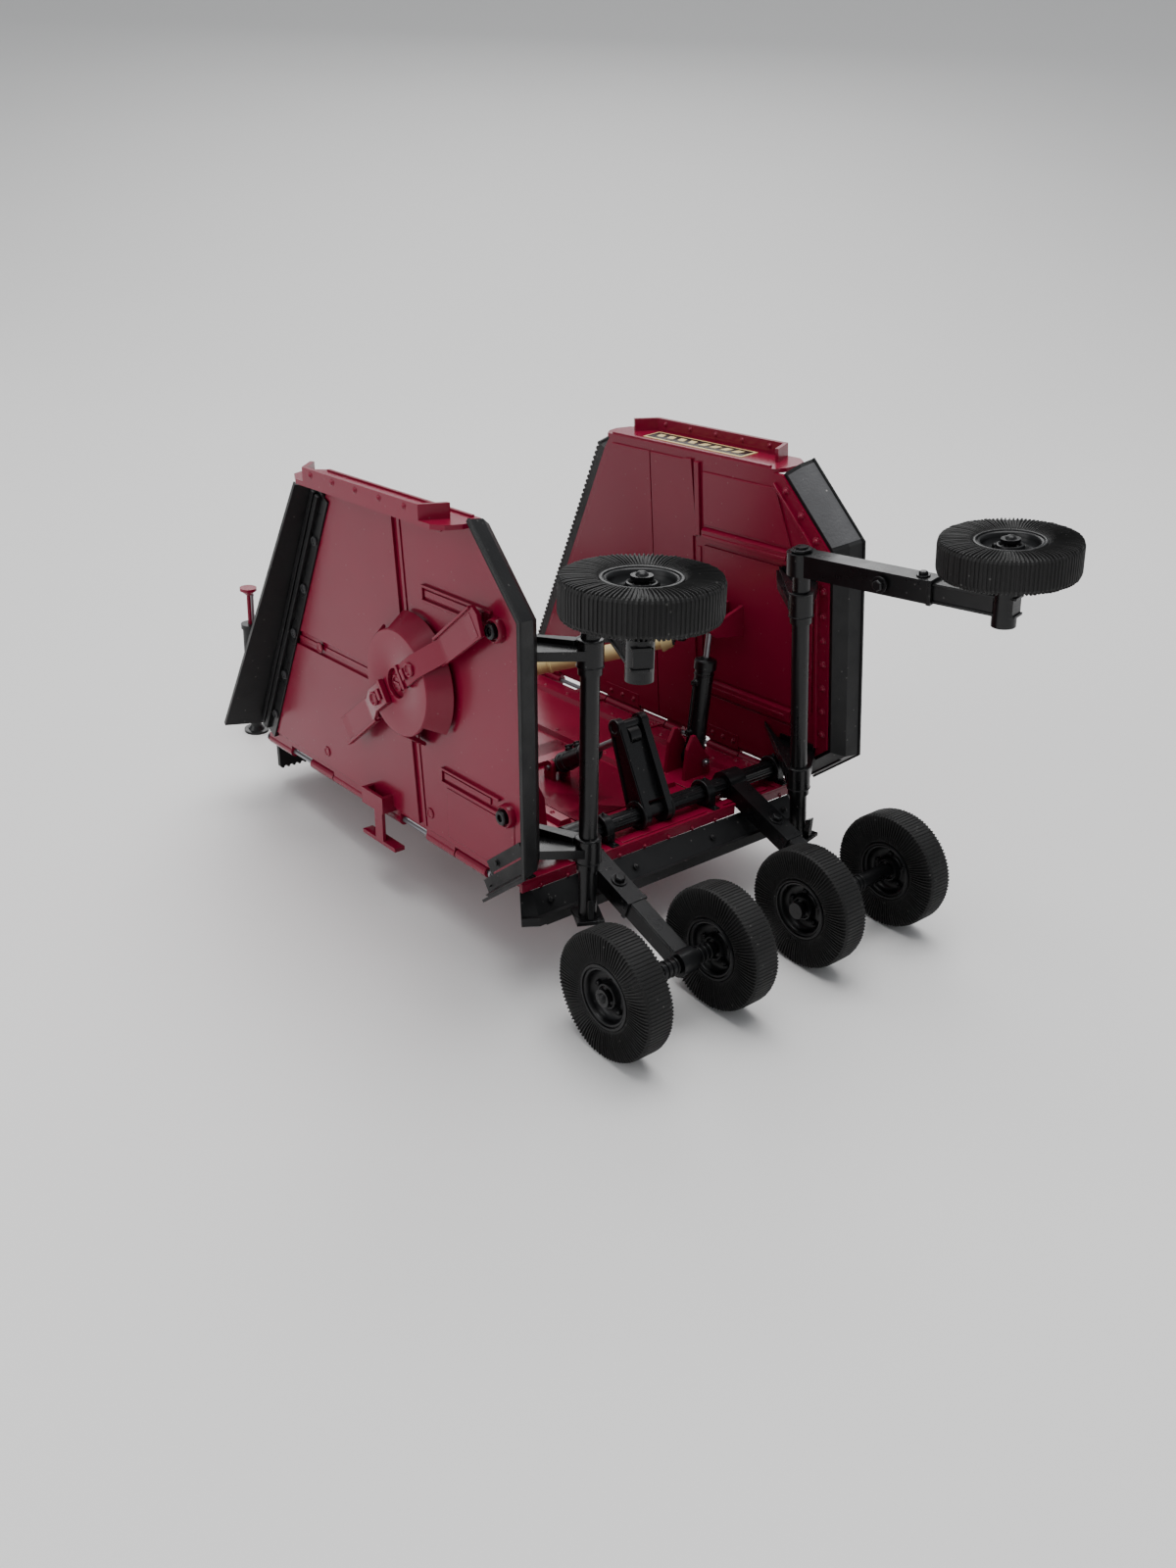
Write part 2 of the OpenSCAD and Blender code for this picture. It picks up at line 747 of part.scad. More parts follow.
module wheel_arm(side) {
    half = 3;
    bar = 2.1;
    length = arm_len(side);
    sleeve = length - 19;
    stub_to = wheel_v(side) + tyre_w / 2 - 0.6;
    at = arm_v(side);
    color(BLACK) down_wing_arm(side) difference() {
        union() {
            rod_x(4, at - half, at + half);
            box([at - half, -sleeve, -half], [at + half, 0, half]);
            box([at - bar, -length - 3, -bar], [at + bar, -sleeve + 1, bar]);
            translate([0, -length, 0]) {
                rod_x(3, at - half - 2.4, at + half + 0.6);
                rod_x(axle_r, at, stub_to);
                rod_x(2.3, stub_to, stub_to + 0.8);
            }
            translate([at, -length * 0.45, 0]) cylinder(r = 1.6, h = half + 1);
        }
        rod_x(1.7, at - half - 1, at + half + 1);
    }
}

module at_wing_wheel(side) {
    down_wing_arm(side) translate([wheel_v(side), -arm_len(side), 0]) children();
}

// ---------- fold cylinders and drivelines ----------

function fold_foot() = [fold_base_x, fold_u, fold_base_w];
function fold_eye(side) = wing_to_deck([fold_lug_v, fold_u, fold_lug_w], fold(side));
function fold_len(side) = norm(fold_eye(side) - fold_foot());
function drive_tip(side) = wing_to_deck(drive_end, fold(side));
function drive_len(side) = norm(drive_tip(side) - drive_hub);

module fold_line(side) {
    in_deck() on_side(side) along(fold_foot(), fold_eye(side)) children();
}

module fold_barrel(side) {
    color(BLACK) fold_line(side) cylinder_barrel(2.9, 0.9, fold_barrel_len, 2.4, 2 * fin_gap - 2.2);
}

module fold_rod(side) {
    color(SILVER) fold_line(side) cylinder_rod(0.9, 6, fold_len(side), 1.8, 3.6, 0.7);
}

// Where a driveline's outer joint is with its wing flat, and the axis the driveline swings about
drive_flat = wing_to_deck(drive_end, 0);
function drive_swing(side) = unit(cross(drive_tip(side) - drive_hub, drive_flat - drive_hub));

module drive_line(side) {
    in_deck() on_side(side) along(drive_hub, drive_tip(side)) children();
}

// Cross pin and yoke of a driveline's inner joint, on the axis it swings about
module driveline_yoke(side) {
    pin_r = 0.6;
    ear_r = 1.1;
    inner = 1.2;
    outer = 2;
    arm_at = 1.6;
    arm_r = 0.65;
    swing = drive_swing(side);
    reach = unit(drive_tip(side) - drive_hub) * 3.6;
    in_deck() on_side(side) translate(drive_hub) {
        along(-outer * swing, outer * swing) cylinder(r = pin_r, h = 2 * outer);
        for (s = [-1, 1]) {
            near = s > 0 ? inner : -outer;
            along(near * swing, (near + 0.1) * swing) cylinder(r = ear_r, h = outer - inner);
            along(s * arm_at * swing, s * arm_at * swing + reach) cylinder(r = arm_r, h = norm(reach));
        }
    }
}

module driveline_tube(side) {
    color(CREAM) driveline_yoke(side);
    color(CREAM) drive_line(side) difference() {
        union() {
            translate([0, 0, 3]) cylinder(r1 = 2.4, r2 = 3.2, h = 3);
            translate([0, 0, 6 - bite]) cylinder(r = 2.6, h = drive_tube_len - 6);
        }
        translate([0, 0, 4]) cylinder(r = 1.95 + running, h = drive_tube_len);
    }
}

module driveline_shaft(side) {
    tip = drive_len(side) - 1.6;
    collar = 3.4;
    color(CREAM) drive_line(side) {
        translate([0, 0, tip - drive_shaft_len]) cylinder(r = 1.95, h = drive_shaft_len - collar + bite);
        translate([0, 0, tip - collar]) cylinder(r1 = 3, r2 = 2, h = collar);
    }
}

// ---------- tongue, hitch and jack, in the ground frame ----------

pivot = deck_to_ground([0, tongue_pivot[0], tongue_pivot[1]]);
beam_z = pivot[2];

module beam(a, b, half_w, half_h) {
    d = b - a;
    translate([a[0], a[1], beam_z]) rotate([0, 0, atan2(d[1], d[0])])
        box([0, -half_w, -half_h], [norm(d), half_w, half_h]);
}

module tongue_frame() {
    cross_y = 196;
    spread = (hitch_y - 8 - cross_y) / (hitch_y - 8 - pivot[1] - 3);
    cross_x = tongue_x * spread + 1;
    color(RED) in_ground() difference() {
        union() {
            for (s = [LEFT, RIGHT]) on_side(s) {
                beam([tongue_x, pivot[1] + 3], [1, hitch_y - 8], 1.9, 2.2);
                translate([tongue_x, pivot[1], beam_z]) rod_x(2.3, -2.3, 2.3);
                box([tongue_x - 2.1, pivot[1], beam_z - 2.1], [tongue_x + 2.1, pivot[1] + 5, beam_z + 2.1]);
            }
            beam([-cross_x, cross_y], [cross_x, cross_y], 1.8, 2.1);
            beam([jack_x + 5.4, jack_y], [-19, jack_y], 1.5, 2);
            box([-3.4, hitch_y - 14, beam_z - 2.6], [3.4, hitch_y - 4, beam_z + 2.6]);
            translate([0, hitch_y, beam_z]) {
                rod_y(1.9, -6, -3.7);
                rod_y(1.1, -4, -1.8);
            }
        }
        for (s = [LEFT, RIGHT])
            translate([s * tongue_x, pivot[1], beam_z]) rod_x(hinge_pin_r + running, -4, 4);
    }
}

module hitch_clevis() {
    ear_t = 1.6;
    gap = 1.7;
    color(RED) difference() {
        union() {
            for (z = [-gap - ear_t, gap]) translate([0, 0, z]) linear_extrude(ear_t) union() {
                circle(r = 3.4);
                translate([-3.4, -2.8]) square([6.8, 2.8]);
            }
            box([-3.4, -2.9, -gap - ear_t], [3.4, -1.9, gap + ear_t]);
        }
        translate([0, 0, -5]) cylinder(r = hitch_bore_r, h = 10);
        rod_y(1.1 + running, -4, -1.8);
    }
}

module jack_tube() {
    color(BLACK) in_ground() translate([jack_x, jack_y, 0]) difference() {
        union() {
            translate([0, 0, 15]) cylinder(r = 2.6, h = 25);
            translate([0, 0, 38.6]) cylinder(r = 3.1, h = 1.6);
            translate([0, 0, beam_z - 3]) cylinder(r = 3.6, h = 6);
            translate([3, 0, beam_z]) rod_x(1.8, 0, 2.4);
        }
        translate([0, 0, 14]) cylinder(r = 1.9 + running, h = 24);
        translate([0, 0, 30]) cylinder(r = 0.7 + running, h = 12);
    }
}

module jack_leg() {
    color(SILVER) in_ground() translate([jack_x, jack_y, 0]) difference() {
        union() {
            cylinder(r = 4.2, h = 0.9);
            translate([0, 0, 0.9 - bite]) cylinder(r1 = 3, r2 = 1.9, h = 1.6);
            translate([0, 0, 2]) cylinder(r = 1.9, h = 24);
        }
        translate([0, 0, 12]) cylinder(r = 0.7 + running, h = 20);
    }
}

module jack_screw() {
    color(RED) in_ground() translate([jack_x, jack_y, 0]) {
        translate([0, 0, 22]) cylinder(r = 0.7, h = 30);
        translate([0, 0, 50.4]) cylinder(r1 = 0.9, r2 = 2.7, h = 1.8);
        translate([0, 0, 52]) cylinder(r = 2.8, h = 1);
    }
}

// ---------- nodes ----------

centre_deck();
deck_braces();
centre_rear_deflector();
centre_chain_guard();
silver_pins();
shaft_bearings();
gearboxes();
centre_blade_pan();
centre_blades();
centre_lift_shaft();
lever_mast();
axle_arms();
ground_axles();
at_ground_wheel(-outer_wheel_x) tyre();  // tyre_outer_left
at_ground_wheel(-outer_wheel_x) rim();  // rim_outer_left
at_ground_wheel(-inner_wheel_x) tyre();  // tyre_inner_left
at_ground_wheel(-inner_wheel_x) rim();  // rim_inner_left
at_ground_wheel(inner_wheel_x) tyre();  // tyre_inner_right
at_ground_wheel(inner_wheel_x) rim();  // rim_inner_right
at_ground_wheel(outer_wheel_x) tyre();  // tyre_outer_right
at_ground_wheel(outer_wheel_x) rim();  // rim_outer_right
lift_cylinder_barrel();
lift_cylinder_rod();
wing_deck(LEFT);  // left_wing_deck
wing_skirt(LEFT);  // left_skirt
wing_rear_deflector(LEFT);  // left_rear_deflector
wing_front_guard(LEFT);  // left_front_guard
wing_gearbox(LEFT);  // left_gearbox
wing_shaft_brackets(LEFT);  // left_shaft_brackets
wing_blade_pan(LEFT);  // left_blade_pan
wing_blades(LEFT);  // left_blades
wheel_shaft(LEFT);  // left_wheel_shaft
wheel_arm(LEFT);  // left_wheel_arm
at_wing_wheel(LEFT) tyre();  // tyre_wing_left
at_wing_wheel(LEFT) rim();  // rim_wing_left
fold_barrel(LEFT);  // left_fold_barrel
fold_rod(LEFT);  // left_fold_rod
driveline_tube(LEFT);  // left_driveline_tube
driveline_shaft(LEFT);  // left_driveline_shaft
wing_deck(RIGHT);  // right_wing_deck
wing_skirt(RIGHT);  // right_skirt
wing_rear_deflector(RIGHT);  // right_rear_deflector
wing_front_guard(RIGHT);  // right_front_guard
wing_gearbox(RIGHT);  // right_gearbox
wing_shaft_brackets(RIGHT);  // right_shaft_brackets
wing_blade_pan(RIGHT);  // right_blade_pan
wing_blades(RIGHT);  // right_blades
wheel_shaft(RIGHT);  // right_wheel_shaft
wheel_arm(RIGHT);  // right_wheel_arm
at_wing_wheel(RIGHT) tyre();  // tyre_wing_right
at_wing_wheel(RIGHT) rim();  // rim_wing_right
fold_barrel(RIGHT);  // right_fold_barrel
fold_rod(RIGHT);  // right_fold_rod
driveline_tube(RIGHT);  // right_driveline_tube
driveline_shaft(RIGHT);  // right_driveline_shaft
tongue_frame();
hitch_clevis();
jack_tube();
jack_leg();
jack_screw();
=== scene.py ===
"""Looks of a die-cast scale model of a folding-wing rotary cutter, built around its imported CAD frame.

Pieces are drawn in local frames in millimetres, and placed in the row frame in metres:
deck (x, u, w) and wing (v, u, w) as in the part, with u forward and w up from the plate.
"""

import json
import math
import random

import bmesh
import bpy
from mathutils import Matrix, Vector


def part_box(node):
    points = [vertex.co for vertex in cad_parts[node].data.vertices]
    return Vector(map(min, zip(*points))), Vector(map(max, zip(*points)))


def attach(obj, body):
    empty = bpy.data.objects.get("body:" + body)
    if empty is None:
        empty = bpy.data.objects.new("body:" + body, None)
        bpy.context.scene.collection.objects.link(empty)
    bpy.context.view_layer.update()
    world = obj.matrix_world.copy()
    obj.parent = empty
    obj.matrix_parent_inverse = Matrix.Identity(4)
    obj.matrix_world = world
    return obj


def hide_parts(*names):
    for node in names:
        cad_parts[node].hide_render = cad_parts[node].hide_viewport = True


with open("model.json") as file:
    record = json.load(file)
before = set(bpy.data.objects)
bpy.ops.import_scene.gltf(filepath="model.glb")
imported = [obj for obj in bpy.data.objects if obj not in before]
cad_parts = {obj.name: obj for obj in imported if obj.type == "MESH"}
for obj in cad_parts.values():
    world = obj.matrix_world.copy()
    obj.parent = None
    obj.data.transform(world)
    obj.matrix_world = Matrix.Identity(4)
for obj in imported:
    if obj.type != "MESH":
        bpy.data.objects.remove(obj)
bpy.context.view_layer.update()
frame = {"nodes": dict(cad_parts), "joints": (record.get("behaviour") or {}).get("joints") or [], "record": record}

MM = 0.001
LEFT, RIGHT = -1, 1
SIDES = {"left": LEFT, "right": RIGHT}
JOINTS = {joint["name"]: joint for joint in frame["joints"]}
MATERIALS = {}

TYRE_R = (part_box("tyre_outer_left")[1].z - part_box("tyre_outer_left")[0].z) / 2 / MM
TYRE_HALF_W = (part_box("tyre_outer_left")[1].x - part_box("tyre_outer_left")[0].x) / 2 / MM
RIM_R = 8.1
FLOOR_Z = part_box("tyre_outer_left")[0].z


# ---------- local frames ----------

def joint_at(name):
    return Vector(JOINTS[name]["pos_m"])


def joint_axis(name):
    return Vector(JOINTS[name]["axis"]).normalized()


def local_frame(origin, x, y, z):
    """The matrix from local millimetres to the row frame."""
    axes = Matrix((x, y, z)).transposed().to_4x4()
    return Matrix.Translation(origin) @ axes @ Matrix.Scale(MM, 4)


X_AXIS = Vector((1, 0, 0))
DECK_U = joint_axis("right_wing_fold")
DECK_W = X_AXIS.cross(DECK_U)
DECK = local_frame((joint_at("left_wing_fold") + joint_at("right_wing_fold")) / 2,
                   X_AXIS, DECK_U, DECK_W)


def wing_frame(side):
    v = joint_axis(f"{side}_wing_wheel_spin")
    return local_frame(joint_at(f"{side}_wing_fold"), v, DECK_U, joint_axis(f"{side}_pan_spin"))


def arm_frame(pivot, wheel, axis):
    """Origin at the pivot, x along the shaft, and -y down the arm."""
    arm = wheel - pivot
    arm = (arm - axis * arm.dot(axis)).normalized()
    return local_frame(pivot, axis, -arm, axis.cross(-arm))


CENTRE_ARMS = arm_frame(joint_at("centre_lift"), joint_at("spin_outer_left"), X_AXIS)


def wing_arm_frame(side):
    v = joint_axis(f"{side}_wing_wheel_spin")
    origin = joint_at(f"{side}_wing_fold")
    pivot = joint_at(f"{side}_arm_lift")
    pivot -= v * (pivot - origin).dot(v)
    placed = arm_frame(pivot, joint_at(f"{side}_wing_wheel_spin"), v)
    if side == "left":
        placed = placed @ Matrix.Diagonal((1, 1, -1, 1))
    return placed


def slide_frame(base, slide, across):
    """Origin at the base joint, z along the slide, and y along the given axis."""
    z = joint_axis(slide)
    y = (across - z * across.dot(z)).normalized()
    return local_frame(joint_at(base), y.cross(z), y, z)


# ---------- meshes ----------

class Shape:
    """Collects closed solids in one mesh, in a local frame in millimetres."""

    def __init__(self):
        self.mesh = bmesh.new()

    def solid(self, points, faces):
        verts = [self.mesh.verts.new(p) for p in points]
        for face in faces:
            self.mesh.faces.new([verts[i] for i in face])

    def loft(self, rings, caps=True):
        """Joins rings of equally many points into a tube, closed at its ends."""
        n = len(rings[0])
        points = [p for ring in rings for p in ring]
        faces = [(i * n + j, i * n + (j + 1) % n, (i + 1) * n + (j + 1) % n, (i + 1) * n + j)
                 for i in range(len(rings) - 1) for j in range(n)]
        if caps:
            faces += [tuple(range(n))[::-1], tuple((len(rings) - 1) * n + j for j in range(n))]
        self.solid(points, faces)

    def prism(self, outline, low, high, axis="z"):
        """Extrudes an outline along an axis; its points are the other two axes, in order."""
        place = {"x": lambda p, t: (t, p[0], p[1]), "y": lambda p, t: (p[0], t, p[1]),
                 "z": lambda p, t: (p[0], p[1], t)}[axis]
        self.loft([[place(p, t) for p in outline] for t in (low, high)])

    def box(self, low, high):
        outline = [(low[0], low[1]), (high[0], low[1]), (high[0], high[1]), (low[0], high[1])]
        self.prism(outline, low[2], high[2])

    def lathe(self, profile, at=(0, 0, 0), axis=(0, 0, 1), sides=32):
        """Turns a profile of (radius, height) points about an axis; radius 0 closes an end."""
        turn = Vector((0, 0, 1)).rotation_difference(Vector(axis)).to_matrix()
        at = Vector(at)
        rings = []
        for radius, height in profile:
            rings.append([at + turn @ Vector((max(radius, 0.001) * math.cos(math.tau * i / sides),
                                              max(radius, 0.001) * math.sin(math.tau * i / sides),
                                              height)) for i in range(sides)])
        self.loft(rings)

    def rod(self, start, end, radius, sides=20, end_radius=None):
        start, end = Vector(start), Vector(end)
        length = (end - start).length
        last = radius if end_radius is None else end_radius
        self.lathe([(radius, 0), (last, length)], start, (end - start) / length, sides)

    def ring(self, at, axis, inner, outer, height, sides=32):
        """A flat ring that stands on a surface, with a dished middle."""
        soft = (outer - inner) * 0.25
        self.lathe([(outer, 0), (outer, height - soft), (outer - soft, height),
                    (inner + soft, height), (inner, height * 0.45), (0, height * 0.4)],
                   at, axis, sides)

    def dome_bolt(self, at, axis, radius):
        self.lathe([(radius * 1.5, 0), (radius * 1.5, radius * 0.25), (radius, radius * 0.35),
                    (radius * 0.85, radius * 0.8), (radius * 0.4, radius * 1.05), (0, radius * 1.1)],
                   at, axis, 16)

    def hex_bolt(self, at, axis, radius, washer=1.45):
        self.lathe([(radius * washer, 0), (radius * washer, radius * 0.3), (radius, radius * 0.3)],
                   at, axis, 24)
        top = Vector(at) + Vector(axis).normalized() * radius * 0.3
        self.lathe([(radius, 0), (radius, radius * 0.55), (radius * 0.8, radius * 0.75), (0, radius * 0.75)],
                   top, axis, 6)

    def path_tube(self, points, radius, sides=10):
        """A round bar along a path, with its rings in the mean plane at each corner."""
        points = [Vector(p) for p in points]
        rings = []
        for i, p in enumerate(points):
            ahead = (points[min(i + 1, len(points) - 1)] - points[max(i - 1, 0)]).normalized()
            turn = Vector((0, 0, 1)).rotation_difference(ahead).to_matrix()
            rings.append([p + turn @ Vector((radius * math.cos(math.tau * j / sides),
                                             radius * math.sin(math.tau * j / sides), 0))
                          for j in range(sides)])
        self.loft(rings)

    def mirrored_x(self):
        """Adds a mirror image of everything so far, across x = 0."""
        copy = bmesh.ops.duplicate(self.mesh, geom=self.mesh.verts[:] + self.mesh.faces[:])["geom"]
        for vert in (g for g in copy if isinstance(g, bmesh.types.BMVert)):
            vert.co.x = -vert.co.x
        bmesh.ops.reverse_faces(self.mesh, faces=[g for g in copy if isinstance(g, bmesh.types.BMFace)])

    def place(self, name, body, placed, slot, bevel=0.12, smooth=40):
        """Makes the piece: one mesh in the row frame that rides on a body."""
        bmesh.ops.recalc_face_normals(self.mesh, faces=self.mesh.faces[:])
        mesh = bpy.data.meshes.new(name)
        self.mesh.to_mesh(mesh)
        self.mesh.free()
        mesh.transform(placed)
        if placed.determinant() < 0:
            mesh.flip_normals()
        piece = bpy.data.objects.new(name, mesh)
        bpy.context.scene.collection.objects.link(piece)
        mesh.shade_smooth()
        mesh.set_sharp_from_angle(angle=math.radians(smooth))
        if bevel:
            soften(piece, bevel)
        mesh.materials.append(MATERIALS[slot])
        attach(piece, body)
        return piece


def soften(piece, width):
    """Rounds a piece's sharp edges by a width in millimetres."""
    bevel = piece.modifiers.new("soft_edges", "BEVEL")
    bevel.width = width * MM
    bevel.segments = 2
    bevel.limit_method = "ANGLE"
    bevel.angle_limit = math.radians(40)
    bevel.use_clamp_overlap = True


# ---------- materials ----------

def finish_material(slot, colour, roughness, coat=0.0, metallic=0.0, spread=0.06, grain=0.05,
                    dust=0.0, dust_colour=(0.5, 0.48, 0.46)):
    """A moulded or painted surface: mottled colour, uneven gloss, fine grain, and dust if asked."""
    material = bpy.data.materials.new(slot)
    material.use_nodes = True
    nodes, links = material.node_tree.nodes, material.node_tree.links
    shader = nodes["Principled BSDF"]
    shader.inputs["Metallic"].default_value = metallic
    shader.inputs["Coat Weight"].default_value = coat
    shader.inputs["Coat Roughness"].default_value = 0.12
    shader.inputs["Specular IOR Level"].default_value = 0.3
    place = nodes.new("ShaderNodeTexCoord").outputs["Object"]

    def noise(scale, detail=4.0):
        node = nodes.new("ShaderNodeTexNoise")
        node.inputs["Scale"].default_value = scale
        node.inputs["Detail"].default_value = detail
        links.new(place, node.inputs["Vector"])
        return node.outputs["Fac"]

    def remap(value, low, high, to_low, to_high):
        node = nodes.new("ShaderNodeMapRange")
        for name, number in (("From Min", low), ("From Max", high), ("To Min", to_low), ("To Max", to_high)):
            node.inputs[name].default_value = number
        links.new(value, node.inputs["Value"])
        return node.outputs["Result"]

    def blend(factor, first, second):
        node = nodes.new("ShaderNodeMix")
        node.data_type = "RGBA"
        links.new(factor, node.inputs["Factor"])
        for socket, value in ((node.inputs["A"], first), (node.inputs["B"], second)):
            if isinstance(value, tuple):
                socket.default_value = (*value, 1)
            else:
                links.new(value, socket)
        return node.outputs["Result"]

    dark = tuple(c * 0.95 for c in colour)
    light = tuple(c * 1.06 for c in colour)
    tint = blend(remap(noise(25), 0.35, 0.65, 0, 1), dark, light)
    if dust:
        cells = nodes.new("ShaderNodeTexVoronoi")
        cells.inputs["Scale"].default_value = 330
        links.new(place, cells.inputs["Vector"])
        specks = remap(cells.outputs["Distance"], 0.055, 0.1, dust, 0)
        tint = blend(specks, tint, dust_colour)
    links.new(tint, shader.inputs["Base Color"])
    links.new(remap(noise(160), 0.3, 0.7, roughness - spread, roughness + spread),
              shader.inputs["Roughness"])
    bump = nodes.new("ShaderNodeBump")
    bump.inputs["Strength"].default_value = grain
    bump.inputs["Distance"].default_value = 0.0002
    links.new(noise(1400, 6.0), bump.inputs["Height"])
    links.new(bump.outputs["Normal"], shader.inputs["Normal"])
    MATERIALS[slot] = material


def make_materials():
    finish_material("red_paint", (0.19, 0.003, 0.024), 0.24, coat=0.08, spread=0.03, grain=0.04, dust=0.07)
    finish_material("black_plastic", (0.0045, 0.0045, 0.005), 0.3, coat=0.1, spread=0.06,
                    grain=0.08, dust=0.1)
    finish_material("black_rubber", (0.006, 0.006, 0.0065), 0.44, spread=0.1, grain=0.2, dust=0.12)
    # painted highlight: a grey copy of the black rubber, for the lit face of the right deflector
    finish_material("painted_highlight_rubber", (0.075, 0.075, 0.078), 0.6, spread=0.2, grain=0.6, dust=0.6)
    finish_material("tyre_rubber", (0.0105, 0.0102, 0.01), 0.62, spread=0.08, grain=0.3, dust=0.12)
    finish_material("black_rim", (0.003, 0.003, 0.0035), 0.36, coat=0.03, spread=0.05, grain=0.06, dust=0.05)
    finish_material("bright_steel", (0.27, 0.27, 0.285), 0.42, metallic=1.0, spread=0.06, grain=0.05)
    finish_material("cream_plastic", (0.6, 0.47, 0.22), 0.4, coat=0.1, spread=0.06, grain=0.1, dust=0.1)
    finish_material("grey_plastic", (0.028, 0.028, 0.03), 0.42, spread=0.08, grain=0.15, dust=0.15)


def dress_cad_nodes():
    """Gives every CAD node its slot's material."""
    slots = {part["node"]: part["material_slot"] for part in frame["record"]["subparts"]}
    for name, node in frame["nodes"].items():
        node.data.materials.clear()
        node.data.materials.append(MATERIALS[slots[name]])


# ---------- wheels ----------

LAMINATIONS = 104
STEPS = (0.0, 0.3, 0.4, 0.88)
GROOVES = (-1.0, -0.85, 0.1, 0.0)


def tyre_profile():
    """(radius, half width, depth of relief) from the bead over the sidewall to the crown."""
    h, r = TYRE_HALF_W, TYRE_R
    return [(RIM_R, h - 1.1, 0.0), (RIM_R + 0.5, h - 0.35, 0.0), (RIM_R + 1.0, h - 0.12, 0.2),
            (10.2, h - 0.03, 0.42), (12.0, h, 0.5), (14.0, h, 0.5), (15.6, h - 0.1, 0.5),
            (r - 0.4, h - 0.35, 0.5), (r - 0.06, h - 0.85, 0.48), (r, h - 1.6, 0.42), (r, 0.0, 0.42)]


def tyre(name, body, joint, seed):
    """A tyre of laminated rubber: thin slabs side by side, each at its own height."""
    dice = random.Random(seed)
    near = tyre_profile()
    profile = near + [(r, -x, d) for r, x, d in near[-2::-1]]
    axis = joint_axis(joint)
    side = axis.orthogonal().normalized()
    placed = local_frame(joint_at(joint), axis, side, axis.cross(side))
    rings = []
    for lamination in range(LAMINATIONS):
        lift = dice.uniform(-0.3, 0.3)
        lean = dice.uniform(-0.15, 0.15)
        for step, groove in zip(STEPS, GROOVES):
            ring = []
            for radius, across, depth in profile:
                reach = (radius - RIM_R) / (TYRE_R - RIM_R)
                swing = 0.5 * math.sin(reach * 2.4) + lean * reach * 0.35
                angle = math.tau * (lamination + step + swing) / LAMINATIONS
                change = depth * (groove + lift * 0.5)
                tread = abs(across) < TYRE_HALF_W - 0.8
                r = min(radius + (change * 0.5 if tread else 0), TYRE_R)
                x = across if tread else across + math.copysign(min(change, 0.0), across)
                ring.append((x, r * math.cos(angle), r * math.sin(angle)))
            rings.append(ring)
    rings.append(rings[0])
    shape = Shape()
    shape.loft(rings, caps=False)
    bmesh.ops.remove_doubles(shape.mesh, verts=shape.mesh.verts[:], dist=1e-4)
    piece = shape.place(name, body, placed, "tyre_rubber", bevel=0, smooth=24)
    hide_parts(name.replace("_laminated", ""))


def rim(name, body, joint):
    """A dished rim with a raised outer ring, a hub ring and five lugs on each side."""
    h = TYRE_HALF_W
    axis = joint_axis(joint)
    side = axis.orthogonal().normalized()
    placed = local_frame(joint_at(joint), axis, side, axis.cross(side))
    half = [(1.56, h - 1.9), (2.45, h - 1.9), (2.55, h - 1.3), (2.8, h - 1.1), (3.15, h - 1.2),
            (3.35, h - 1.7), (3.6, h - 2.7), (4.1, h - 3.1), (5.6, h - 3.0), (6.3, h - 2.5),
            (6.7, h - 1.5), (6.85, h - 0.7), (7.05, h - 0.45), (7.4, h - 0.35), (7.6, h - 0.55),
            (7.75, h - 0.55), (7.85, h - 0.15), (8.15, h - 0.05), (8.45, h - 0.2),
            (RIM_R + 0.35, h - 0.7)]
    profile = half + [(r, -x) for r, x in reversed(half)]
    rings = [[(x, r * math.cos(math.tau * i / 64), r * math.sin(math.tau * i / 64)) for r, x in profile]
             for i in range(64)]
    rings.append(rings[0])
    shape = Shape()
    shape.loft(rings, caps=False)
    bmesh.ops.remove_doubles(shape.mesh, verts=shape.mesh.verts[:], dist=1e-4)
    for face in (LEFT, RIGHT):
        for i in range(5):
            angle = math.tau * (i + 0.5) / 5
            at = (face * (h - 3.15), 4.75 * math.cos(angle), 4.75 * math.sin(angle))
            shape.lathe([(0.75, 0), (0.72, 0.7), (0.5, 1.0), (0, 1.1)], at, (face, 0, 0), 12)
    piece = shape.place(name, body, placed, "black_rim", bevel=0, smooth=50)
    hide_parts(name.replace("_dished", ""))


def make_wheels():
    wheels = [(f"{row}_{side}", f"wheel_{row}_{side}", f"spin_{row}_{side}")
              for row in ("outer", "inner") for side in SIDES]
    wheels += [(f"wing_{side}", f"{side}_wing_wheel", f"{side}_wing_wheel_spin") for side in SIDES]
    for seed, (end, body, joint) in enumerate(wheels):
        tyre(f"tyre_{end}_laminated", body, joint, seed)
        rim(f"rim_{end}_dished", body, joint)
    caps = Shape()
    for joint in ("spin_outer_left", "spin_inner_left", "spin_inner_right", "spin_outer_right"):
        at = CENTRE_ARMS.inverted() @ joint_at(joint)
        out = 1 if at.x > 0 else -1
        face = out if "outer" in joint else -out
        hub_dome(caps, at + Vector((face * (TYRE_HALF_W - 0.2), 0, 0)), (face, 0, 0))
    caps.place("axle_domes", "centre_axle", CENTRE_ARMS, "black_rim", bevel=0)
    for side in SIDES:
        caps = Shape()
        placed = wing_arm_frame(side)
        at = placed.inverted() @ joint_at(f"{side}_wing_wheel_spin")
        hub_dome(caps, at + Vector((TYRE_HALF_W - 0.2, 0, 0)), (1, 0, 0))
        caps.place(f"{side}_axle_dome", f"{side}_wheel_carrier", placed, "black_rim", bevel=0)


def hub_dome(shape, at, axis):
    shape.lathe([(2.2, -0.3), (2.2, 0), (1.7, 0.12), (1.45, 0.2), (1.25, 0.7), (0.8, 1.1), (0, 1.25)],
                at, axis, 24)


# ---------- wings ----------

